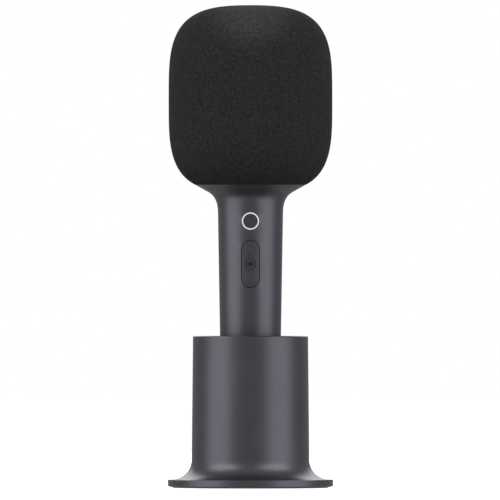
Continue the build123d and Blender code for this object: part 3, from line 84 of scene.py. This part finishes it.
# ------------------------------------------------------------------ node-tree helpers
class Nodes:
    """A short way to build a material's node tree."""

    def __init__(self, name):
        self.material = bpy.data.materials.new(name)
        self.material.use_nodes = True
        self.tree = self.material.node_tree
        self.shader = self.tree.nodes["Principled BSDF"]

    def add(self, kind, inputs=None, **settings):
        node = self.tree.nodes.new(kind)
        for key, value in settings.items():
            setattr(node, key, value)
        for key, value in (inputs or {}).items():
            self.put(node.inputs[key], value)
        return node

    def put(self, socket, value):
        if isinstance(value, bpy.types.NodeSocket):
            self.tree.links.new(value, socket)
        else:
            socket.default_value = value

    def math(self, operation, *values):
        node = self.add("ShaderNodeMath", operation=operation)
        for socket, value in zip(node.inputs, values):
            self.put(socket, value)
        return node.outputs[0]

    def ramp(self, value, stops):
        """A colour ramp: stops are (position, grey) or (position, (r, g, b))."""
        node = self.add("ShaderNodeValToRGB", {"Fac": value})
        elements = node.color_ramp.elements
        while len(elements) < len(stops):
            elements.new(0.5)
        for element, (position, colour) in zip(elements, stops):
            element.position = position
            if isinstance(colour, (int, float)):
                colour = (colour, colour, colour)
            element.color = (*colour, 1.0)
        return node.outputs["Color"]

    def noise(self, vector, scale, detail, roughness):
        inputs = {"Scale": scale, "Detail": detail, "Roughness": roughness, "Vector": vector}
        return self.add("ShaderNodeTexNoise", inputs).outputs["Fac"]

    def smooth_noise(self, vector, scale):
        """Noise with few fine details, and the node's own roughness."""
        inputs = {"Scale": scale, "Detail": 2.0, "Vector": vector}
        return self.add("ShaderNodeTexNoise", inputs).outputs["Fac"]

    def position(self):
        return self.add("ShaderNodeTexCoord").outputs["Object"]

    def separate(self, vector):
        return self.add("ShaderNodeSeparateXYZ", {"Vector": vector}).outputs

    def combine(self, x, y, z):
        return self.add("ShaderNodeCombineXYZ", {"X": x, "Y": y, "Z": z}).outputs[0]

    def bump(self, height, strength, distance):
        inputs = {"Height": height, "Strength": strength, "Distance": distance}
        return self.add("ShaderNodeBump", inputs).outputs["Normal"]

    def set(self, **values):
        """Links or sets inputs of the shader; an underscore stands for a space."""
        for key, value in values.items():
            self.put(self.shader.inputs[key.replace("_", " ")], value)


def grey(level):
    return (level, level, level, 1.0)


def shades(colour, dark, light):
    """Two shades of a colour, as a ramp's colours."""
    return tuple(c * dark for c in colour), tuple(min(1.0, c * light) for c in colour)


def link_object(name, data):
    """A new object for a mesh or a light, in the scene."""
    item = bpy.data.objects.new(name, data)
    bpy.context.collection.objects.link(item)
    return item


# ------------------------------------------------------------------ materials
def satin_metal(name, colour, roughness=0.38):
    """Fine-blasted, coated metal: a faint grain, soft handling marks and slightly uneven sheen."""
    cloud_share, grain_share = 0.06, 0.05
    m = Nodes(name)
    spot = m.position()
    grain = m.noise(spot, scale=9000.0, detail=2.0, roughness=0.5)
    cloud = m.noise(spot, scale=35.0, detail=5.0, roughness=0.6)
    dark, light = shades(colour, 0.95, 1.05)
    m.set(Base_Color=m.ramp(cloud, [(0.3, dark), (0.7, light)]))
    clouds = m.math("MULTIPLY", cloud, cloud_share)
    sheen = m.math("ADD", clouds, m.math("MULTIPLY", grain, grain_share))
    m.set(Roughness=m.math("ADD", sheen, roughness - (cloud_share + grain_share) / 2))
    m.set(Normal=m.bump(grain, strength=0.10, distance=0.00003))
    m.shader.inputs["Metallic"].default_value = 0.9
    m.shader.inputs["Specular IOR Level"].default_value = 0.5
    return m.material


def plastic(name, colour, roughness=0.5, grain_scale=4000.0, grain_strength=0.15):
    """Moulded plastic with a spark-eroded grain and a little shade variation."""
    grain_share = 0.16
    m = Nodes(name)
    spot = m.position()
    grain = m.noise(spot, scale=grain_scale, detail=3.0, roughness=0.6)
    cloud = m.noise(spot, scale=60.0, detail=4.0, roughness=0.5)
    dark, light = shades(colour, 0.88, 1.1)
    m.set(Base_Color=m.ramp(cloud, [(0.3, dark), (0.7, light)]))
    rough = m.math("MULTIPLY", grain, grain_share)
    m.set(Roughness=m.math("ADD", rough, roughness - grain_share / 2))
    m.set(Normal=m.bump(grain, strength=grain_strength, distance=0.00005))
    return m.material


def ink(name, colour):
    """Matt printing ink: as plastic, but with next to no gloss."""
    material = plastic(name, colour, roughness=0.9)
    shader = material.node_tree.nodes["Principled BSDF"]
    shader.inputs["Specular IOR Level"].default_value = 0.05
    return material


def rubber(name, colour):
    """Rubber: a rougher and coarser-grained plastic."""
    return plastic(name, colour, roughness=0.8, grain_scale=2500.0, grain_strength=0.35)


def bare_metal(name, colour, roughness=0.3):
    """Turned or drawn metal inside the object: concentric tool marks and darker spots."""
    mark_share = 0.2
    m = Nodes(name)
    spot = m.position()
    x, y, z = m.separate(spot)
    squares = m.math("ADD", m.math("POWER", x, 2.0), m.math("POWER", y, 2.0))
    rings = m.smooth_noise(m.combine(m.math("SQRT", squares), 0.0, z), scale=1500.0)
    cloud = m.noise(spot, scale=80.0, detail=4.0, roughness=0.5)
    dark, light = shades(colour, 0.85, 1.0)
    m.set(Base_Color=m.ramp(cloud, [(0.35, dark), (0.65, light)]))
    rough = m.math("MULTIPLY", rings, mark_share)
    m.set(Roughness=m.math("ADD", rough, roughness - mark_share / 2))
    m.set(Normal=m.bump(rings, strength=0.2, distance=0.00003))
    m.shader.inputs["Metallic"].default_value = 1.0
    return m.material


KNIT_PITCH = 0.00085        # metres between threads
FINE_SHARE = 0.18           # the fine threads' part of the relief
RELIEF = 0.36               # how far the threads' height swings about 0.5
CROWN_START = 0.62          # the upward part of the normal where the sides' weave ends,
CROWN_END = 0.8             # and where the crown's own weave has taken over
MELANGE_SCALE = 950.0
YARN_AROUND, YARN_UP = 260.0, 1300.0    # streaks of yarn per metre, round and up
# the weave's share of the colour is painted shade: darker in the hollows between threads, lighter
# on their crowns
WEAVE_SHADE_SHARE, MELANGE_SHARE, YARN_SHARE = 0.46, 0.36, 0.18
KNIT_SHADES = [
    (0.22, (0.013, 0.013, 0.0130)), (0.5, (0.0325, 0.0325, 0.0325)), (0.78, (0.058, 0.058, 0.0575)),
]


def weave_height(m, across, along):
    """Height of a plain weave of round threads, from 0 to 1."""
    turns = 2 * math.pi / KNIT_PITCH
    warp = m.math("SINE", m.math("MULTIPLY", across, turns))
    weft = m.math("SINE", m.math("MULTIPLY", along, turns))
    cell = m.math("MULTIPLY", warp, weft)
    fine_warp = m.math("SINE", m.math("MULTIPLY", across, turns * 2.0))
    fine_weft = m.math("SINE", m.math("MULTIPLY", along, turns * 2.0))
    fine = m.math("MULTIPLY", m.math("ADD", fine_warp, fine_weft), FINE_SHARE)
    return m.math("ADD", m.math("MULTIPLY", m.math("ADD", cell, fine), RELIEF), 0.5)


def knit_fabric(name):
    """Dense acoustic cloth: crossing threads with painted shade in the hollows between them,
    melange yarn in streaks and a faint sheen.
    """
    m = Nodes(name)
    spot = m.position()
    x, y, up = m.separate(spot)
    around = m.math("MULTIPLY", m.math("ARCTAN2", y, x), fabric_high.x)
    side = weave_height(m, around, up)
    top = weave_height(m, x, y)
    normal = m.separate(m.add("ShaderNodeNewGeometry").outputs["Normal"])
    reach = {"Value": normal[2], "From Min": CROWN_START, "From Max": CROWN_END}
    crown = m.add("ShaderNodeMapRange", reach).outputs[0]
    side = m.math("MULTIPLY", side, m.math("SUBTRACT", 1.0, crown))
    height = m.math("ADD", side, m.math("MULTIPLY", top, crown))
    melange = m.noise(spot, scale=MELANGE_SCALE, detail=3.0, roughness=0.7)
    melange = m.ramp(melange, [(0.33, 0.0), (0.67, 1.0)])
    streaks = (m.math("MULTIPLY", around, YARN_AROUND), m.math("MULTIPLY", up, YARN_UP))
    yarn = m.smooth_noise(m.combine(*streaks, 0.0), scale=1.0)
    # painted shade: the colour follows the threads' relief, dark in the hollows and light on the
    # crowns
    shade = m.math("MULTIPLY", height, WEAVE_SHADE_SHARE)
    shade = m.math("ADD", shade, m.math("MULTIPLY", melange, MELANGE_SHARE))
    shade = m.math("ADD", shade, m.math("MULTIPLY", yarn, YARN_SHARE))
    m.set(Base_Color=m.ramp(shade, KNIT_SHADES))
    m.set(Normal=m.bump(height, strength=0.6, distance=0.00022))
    m.shader.inputs["Roughness"].default_value = 0.95
    m.shader.inputs["Specular IOR Level"].default_value = 0.06
    m.shader.inputs["Sheen Weight"].default_value = 0.004
    m.shader.inputs["Sheen Roughness"].default_value = 0.5
    return m.material


def lit_ring(name):
    """Milky light guide, lit from behind, its glow slightly uneven."""
    m = Nodes(name)
    glow = m.noise(m.position(), scale=400.0, detail=2.0, roughness=0.5)
    m.set(Base_Color=m.ramp(glow, [(0.3, (0.42, 0.43, 0.46)), (0.7, (0.50, 0.50, 0.52))]))
    m.set(Emission_Color=m.ramp(glow, [(0.3, (0.93, 0.94, 0.98)), (0.7, (1.0, 1.0, 1.0))]))
    m.shader.inputs["Emission Strength"].default_value = 0.50
    m.shader.inputs["Roughness"].default_value = 0.35
    return m.material


def circuit_board(name):
    """Green solder mask with faint tracks."""
    m = Nodes(name)
    tracks = m.add("ShaderNodeTexBrick", {"Scale": 500.0, "Mortar Size": 0.01})
    m.put(tracks.inputs["Vector"], m.position())
    tracks.inputs["Color1"].default_value = (0.010, 0.080, 0.030, 1)
    tracks.inputs["Color2"].default_value = (0.014, 0.105, 0.040, 1)
    tracks.inputs["Mortar"].default_value = (0.03, 0.16, 0.07, 1)
    m.set(Base_Color=tracks.outputs["Color"])
    m.shader.inputs["Roughness"].default_value = 0.35
    m.set(Normal=m.bump(tracks.outputs["Fac"], strength=0.2, distance=0.00005))
    return m.material


SLOT_MATERIALS = {
    "gunmetal": satin_metal("gunmetal", (0.124, 0.121, 0.141)),
    "handle_metal": satin_metal("handle_metal", (0.124, 0.121, 0.141)),
    "key_metal": satin_metal("key_metal", (0.110, 0.107, 0.125), roughness=0.42),
    "dark_plastic": plastic("dark_plastic", (0.020, 0.020, 0.022)),
    "cup_plastic": plastic("cup_plastic", (0.028, 0.028, 0.031), roughness=0.55),
    "cage_plastic": plastic("cage_plastic", (0.018, 0.018, 0.020)),
    "chassis": plastic("chassis", (0.060, 0.060, 0.065)),
    "power_face": plastic("power_face", (0.046, 0.045, 0.049), roughness=0.55),
    "chip": plastic("chip", (0.015, 0.015, 0.016), roughness=0.45),
    "lamp": plastic("lamp", (0.85, 0.83, 0.60), roughness=0.3),
    "cone_paper": plastic("cone_paper", (0.030, 0.030, 0.032), roughness=0.85, grain_scale=1500.0),
    "foam": plastic(
        "foam", (0.030, 0.030, 0.032), roughness=0.95, grain_scale=1200.0, grain_strength=0.8
    ),
    "felt": plastic(
        "felt", (0.045, 0.045, 0.050), roughness=0.95, grain_scale=1800.0, grain_strength=0.7
    ),
    "spider_cloth": plastic(
        "spider_cloth", (0.42, 0.27, 0.08), roughness=0.85, grain_scale=2200.0
    ),
    "wire": plastic("wire", (0.30, 0.015, 0.015), roughness=0.4),
    "rubber": rubber("rubber", (0.016, 0.016, 0.017)),
    "steel": bare_metal("steel", (0.52, 0.52, 0.54)),
    "iron": bare_metal("iron", (0.30, 0.30, 0.32), roughness=0.4),
    "screw_steel": bare_metal("screw_steel", (0.22, 0.22, 0.24)),
    "nickel": bare_metal("nickel", (0.62, 0.58, 0.50), roughness=0.25),
    "capsule_metal": bare_metal("capsule_metal", (0.60, 0.60, 0.62)),
    "coil_wire": bare_metal("coil_wire", (0.65, 0.28, 0.12)),
    "cell_wrap": plastic("cell_wrap", (0.03, 0.14, 0.26), roughness=0.25),
    "board_green": circuit_board("board_green"),
    "board_black": plastic("board_black", (0.008, 0.008, 0.009), roughness=0.6),
    "mark_ink": ink("mark_ink", (0.003, 0.003, 0.003)),
    "mark_pale": ink("mark_pale", (0.13, 0.13, 0.135)),
    "light_guide": lit_ring("light_guide"),
    "head_knit": knit_fabric("head_knit"),
}
slot_of = {entry["node"]: entry["material_slot"] for entry in frame["record"]["subparts"]}
for node_name, node in NODES.items():
    for material_slot in node.material_slots:
        material_slot.material = SLOT_MATERIALS[slot_of[node_name]]


# ------------------------------------------------------------------ head cover
AROUND = 320                # divisions round the head cover
ALONG = 170                 # and from its crown to its hem
CLOTH = 0.0009              # its thickness
CROWN_BULGE = 0.0041        # the crown's extra doming over its superellipse
CROWN_POWER = 2 / 3.89
BELLY_POWER = 2 / 3.48
BELLY_DEPTH = 0.0467        # from the girth to where the belly's curve would close
GIRTH_Z = 0.1999            # the head's widest level
HEM_ROLL = 5                # steps round the folded hem
HEM_DROP = 0.6              # the roll's depth, as a share of half the cloth's thickness
POLE_RADIUS = 1e-7          # a ring smaller than this is one point


def cover_outline(steps_up=110, steps_down=90):
    """The outer outline from the crown's middle down to the neck: (radius, z) points."""
    widest = fabric_high.x
    crown = fabric_high.z - GIRTH_Z - CROWN_BULGE
    points = []
    for step in range(steps_up):
        angle = math.pi / 2 * (1 - step / steps_up)
        radius = widest * math.cos(angle) ** CROWN_POWER if step else 0.0
        dome = CROWN_BULGE * (1 - (radius / widest) ** 2)
        points.append((radius, GIRTH_Z + crown * math.sin(angle) ** CROWN_POWER + dome))
    lowest = math.asin(((GIRTH_Z - fabric_low.z) / BELLY_DEPTH) ** (1 / BELLY_POWER))
    for step in range(steps_down + 1):
        angle = lowest * step / steps_down
        radius = widest * math.cos(angle) ** BELLY_POWER
        points.append((radius, GIRTH_Z - BELLY_DEPTH * math.sin(angle) ** BELLY_POWER))
    return points


def evenly(points, count):
    """The same outline with evenly spaced points."""
    lengths = [0.0]
    for a, b in zip(points, points[1:]):
        lengths.append(lengths[-1] + math.dist(a, b))
    result, place = [], 0
    for step in range(count + 1):
        want = lengths[-1] * step / count
        while place < len(points) - 2 and lengths[place + 1] < want:
            place += 1
        span = lengths[place + 1] - lengths[place]
        share = (want - lengths[place]) / span if span else 0.0
        a, b = points[place], points[place + 1]
        result.append(tuple(a[i] + (b[i] - a[i]) * share for i in (0, 1)))
    return result


def inward(points, depth):
    """The outline moved into the head by depth."""
    moved = []
    for i, (radius, z) in enumerate(points):
        before = points[max(i - 1, 0)]
        after = points[min(i + 1, len(points) - 1)]
        along = Vector((after[0] - before[0], after[1] - before[1])).normalized()
        moved.append((max(radius + along.y * depth, 0.0) if i else 0.0, z - along.x * depth))
    return moved


def closed_piece(name, mesh, material):
    """An object from a closed mesh, its faces turned outward."""
    bmesh.ops.recalc_face_normals(mesh, faces=mesh.faces)
    data = bpy.data.meshes.new(name)
    mesh.to_mesh(data)
    mesh.free()
    data.materials.append(material)
    return link_object(name, data)


def lathe(profile, around):
    """A surface of revolution about Z through (radius, z) points; a radius of 0 makes a pole."""
    mesh = bmesh.new()
    turns = [2 * math.pi * i / around for i in range(around)]
    rings = []
    for radius, z in profile:
        if radius < POLE_RADIUS:
            rings.append([mesh.verts.new((0, 0, z))])
            continue
        ring = [(radius * math.cos(t), radius * math.sin(t), z) for t in turns]
        rings.append([mesh.verts.new(point) for point in ring])
    for upper, lower in zip(rings, rings[1:]):
        for i in range(around):
            j = (i + 1) % around
            corners = [upper[i % len(upper)], lower[i % len(lower)]]
            corners += [lower[j % len(lower)], upper[j % len(upper)]]
            corners = list(dict.fromkeys(corners))
            if len(corners) > 2:
                mesh.faces.new(corners)
    return mesh


def make_head_cover():
    """The cloth, outside and inside, joined by a rolled hem at the neck."""
    outer = evenly(cover_outline(), ALONG)
    inner = inward(outer, CLOTH)
    a, b = Vector(outer[-1]), Vector(inner[-1])
    middle, arm = (a + b) / 2, (a - b) / 2
    down = Vector((arm.y, -arm.x)) * HEM_DROP
    hem = []
    for step in range(1, HEM_ROLL):
        turn = math.pi * step / HEM_ROLL
        point = middle + arm * math.cos(turn) + down * math.sin(turn)
        hem.append((point.x, max(point.y, fabric_low.z)))
    mesh = lathe(outer + hem + inner[::-1], AROUND)
    cover = closed_piece("head_cover", mesh, SLOT_MATERIALS["head_knit"])
    cover.data.shade_smooth()
    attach(cover, "microphone")
    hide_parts("head_fabric")


make_head_cover()


# ------------------------------------------------------------------ marks printed on the keys
INK_PROUD = 0.00004         # how far a mark stands off the key's face
INK_ROOT = 0.00006          # and how deep its underside lies
RAY_START = -1.0            # the Y, far in front, where rays towards the key begin
LEVEL_HEIGHTS = (0.0008, 0.0018, 0.0028, 0.0018, 0.0008)    # the wave's bars
LEVEL_PITCH = 0.00078
LEVEL_WIDTH = 0.00042
SIGN_OFFSET = 0.0075        # the rocker's signs, from its middle
SIGN_REACH = 0.0008
SIGN_WIDTH = 0.0003


def bar(middle_x, middle_z, half_width, half_height, corner_steps=4):
    """A round-cornered bar's outline: (x, z) points."""
    reach = min(half_width, half_height)
    points = []
    for quarter, (sx, sz) in enumerate(((1, 1), (-1, 1), (-1, -1), (1, -1))):
        centre_x = middle_x + sx * (half_width - reach)
        centre_z = middle_z + sz * (half_height - reach)
        for step in range(corner_steps + 1):
            turn = math.pi / 2 * (quarter + step / corner_steps)
            point = (centre_x + reach * math.cos(turn), centre_z + reach * math.sin(turn))
            points.append(point)
    return points


def cross(middle_x, middle_z, reach, half_width):
    """A plus sign's outline: (x, z) points."""
    points = []
    arm = [(reach, -half_width), (reach, half_width), (half_width, half_width)]
    for c, s in [(1, 0), (0, 1), (-1, 0), (0, -1)]:
        for along, side in arm:
            points.append((middle_x + along * c - side * s, middle_z + along * s + side * c))
    return points


def print_mark(name, node_name, body, ink_name, outlines):
    """Thin closed plates that follow a key's front face, one for each outline."""
    node = NODES[node_name]
    corners = [vertex.co for vertex in node.data.vertices]
    face = BVHTree.FromPolygons(corners, [tuple(p.vertices) for p in node.data.polygons])
    mesh = bmesh.new()
    for outline in outlines:
        front, back = [], []
        for x, z in outline:
            hit = face.ray_cast(Vector((x, RAY_START, z)), Vector((0, 1, 0)))[0]
            front.append(mesh.verts.new((x, hit.y - INK_PROUD, z)))
            back.append(mesh.verts.new((x, hit.y + INK_ROOT, z)))
        count = len(outline)
        mesh.faces.new(front)
        mesh.faces.new(back[::-1])
        for i in range(count):
            j = (i + 1) % count
            mesh.faces.new((front[j], front[i], back[i], back[j]))
    bmesh.ops.triangulate(mesh, faces=mesh.faces)
    piece = closed_piece(name, mesh, SLOT_MATERIALS[ink_name])
    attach(piece, body)


def make_marks():
    """A plain sound wave of five bars on the round key, signs at the rocker's ends."""
    rocker_low, rocker_high = node_box("volume_rocker")
    rocker_z = (rocker_low.z + rocker_high.z) / 2
    effect_low, effect_high = node_box("effect_button")
    effect_z = (effect_low.z + effect_high.z) / 2
    bars = []
    for place, height in enumerate(LEVEL_HEIGHTS):
        x = (place - (len(LEVEL_HEIGHTS) - 1) / 2) * LEVEL_PITCH
        bars.append(bar(x, effect_z, LEVEL_WIDTH / 2, height / 2))
    print_mark("effect_mark", "effect_button", "effect_key", "mark_ink", bars)
    up = cross(0, rocker_z + SIGN_OFFSET, SIGN_REACH, SIGN_WIDTH / 2)
    down = bar(0, rocker_z - SIGN_OFFSET, SIGN_REACH, SIGN_WIDTH / 2)
    print_mark("volume_up_mark", "volume_rocker", "volume_key", "mark_pale", [up])
    print_mark("volume_down_mark", "volume_rocker", "volume_key", "mark_pale", [down])


make_marks()


# ------------------------------------------------------------------ stage
FLOOR_REACH = 6.0
FLOOR_Z = -0.0002           # just under the foot, so that the two faces never fight
FLOOR_GLOW = 0.75
FLOOR_BOUNCE = 0.42         # how pale it is to everything but the camera
ROOM_LIGHT = 0.33
LIGHT_TARGET = (0, 0, 0.13)
LIGHT_DISTANCE = 1.6
SIDE_BOX = (1.6, 2.6)       # softboxes: width and height
HIGH_BOX = (1.5, 0.8)
BACK_BOX = (1.8, 1.0)
SPOT_POWER = 58.0
SPOT_REACH = 0.025          # the beam's radius at the head
SPOT_ELEVATION = 38.0
SPOT_SOURCE = 0.004         # the lamp's own radius
SPOT_FORWARD = 0.64         # where it aims: this share of the head's radius in front,
SPOT_BELOW_TOP = 0.0048     # and this far below its top


def make_floor():
    """A broad, white, matt floor, unseen in reflections, that lights the object only dimly."""
    m = Nodes("floor_white")
    tone = m.noise(m.position(), scale=3.0, detail=2.0, roughness=0.5)
    m.set(Base_Color=m.ramp(tone, [(0.0, (0.90, 0.90, 0.90)), (1.0, (0.93, 0.93, 0.93))]))
    m.shader.inputs["Roughness"].default_value = 0.9
    m.shader.inputs["Specular IOR Level"].default_value = 0.0
    m.shader.inputs["Emission Color"].default_value = grey(1.0)
    m.shader.inputs["Emission Strength"].default_value = FLOOR_GLOW
    dim = m.add("ShaderNodeBsdfDiffuse", {"Color": grey(FLOOR_BOUNCE)})
    path = m.add("ShaderNodeLightPath")
    mix = m.add("ShaderNodeMixShader", {0: path.outputs["Is Camera Ray"]})
    m.put(mix.inputs[1], dim.outputs[0])
    m.put(mix.inputs[2], m.shader.outputs[0])
    m.put(m.tree.nodes["Material Output"].inputs["Surface"], mix.outputs[0])
    mesh = bpy.data.meshes.new("floor")
    sides = [(-1, -1), (1, -1), (1, 1), (-1, 1)]
    corners = [(x * FLOOR_REACH, y * FLOOR_REACH, FLOOR_Z) for x, y in sides]
    mesh.from_pydata(corners, [], [(0, 1, 2, 3)])
    mesh.materials.append(m.material)
    floor = link_object("floor", mesh)
    floor.visible_glossy = False


def make_world():
    """White behind the object, and a dimmer, even room in its reflections."""
    world = bpy.data.worlds.new("studio")
    bpy.context.scene.world = world
    world.use_nodes = True
    tree = world.node_tree
    shown = tree.nodes["Background"]
    shown.inputs["Color"].default_value = (1, 1, 1, 1)
    shown.inputs["Strength"].default_value = 1.0
    room = tree.nodes.new("ShaderNodeBackground")
    room.inputs["Color"].default_value = (1, 1, 1, 1)
    room.inputs["Strength"].default_value = ROOM_LIGHT
    path = tree.nodes.new("ShaderNodeLightPath")
    mix = tree.nodes.new("ShaderNodeMixShader")
    tree.links.new(path.outputs["Is Camera Ray"], mix.inputs[0])
    tree.links.new(room.outputs[0], mix.inputs[1])
    tree.links.new(shown.outputs[0], mix.inputs[2])
    tree.links.new(mix.outputs[0], tree.nodes["World Output"].inputs["Surface"])


def aim_light(name, data, target, azimuth, elevation):
    """A light aimed at a point: azimuth 0 is in front, positive to the right."""
    light = link_object(name, data)
    a, e = math.radians(azimuth), math.radians(elevation)
    away = Vector((math.sin(a) * math.cos(e), -math.cos(a) * math.cos(e), math.sin(e)))
    light.location = Vector(target) + away * LIGHT_DISTANCE
    light.rotation_mode = "QUATERNION"
    light.rotation_quaternion = away.to_track_quat("Z", "Y")
    light.visible_camera = False


def softbox(name, azimuth, elevation, size, brightness):
    """A soft box aimed at the object."""
    data = bpy.data.lights.new(name, "AREA")
    data.shape = "RECTANGLE"
    data.size, data.size_y = size
    data.energy = brightness * math.pi * size[0] * size[1]
    aim_light(name, data, LIGHT_TARGET, azimuth, elevation)


def head_spot():
    """A narrow, soft-edged beam from high in front, on the top of the head alone."""
    data = bpy.data.lights.new("head_spot", "SPOT")
    data.energy = SPOT_POWER
    data.spot_size = 2 * math.atan(SPOT_REACH / LIGHT_DISTANCE)
    data.spot_blend = 1.0
    data.shadow_soft_size = SPOT_SOURCE
    target = (0, fabric_low.y * SPOT_FORWARD, fabric_high.z - SPOT_BELOW_TOP)
    aim_light("head_spot", data, target, 0, SPOT_ELEVATION)


make_floor()
make_world()
softbox("left", azimuth=-66, elevation=-16, size=SIDE_BOX, brightness=0.95)
softbox("right", azimuth=61, elevation=-16, size=SIDE_BOX, brightness=0.93)
softbox("high_left", azimuth=-60, elevation=34, size=HIGH_BOX, brightness=2.1)
softbox("high_right", azimuth=56, elevation=34, size=HIGH_BOX, brightness=2.0)
softbox("back", azimuth=180, elevation=25, size=BACK_BOX, brightness=1.8)
head_spot()
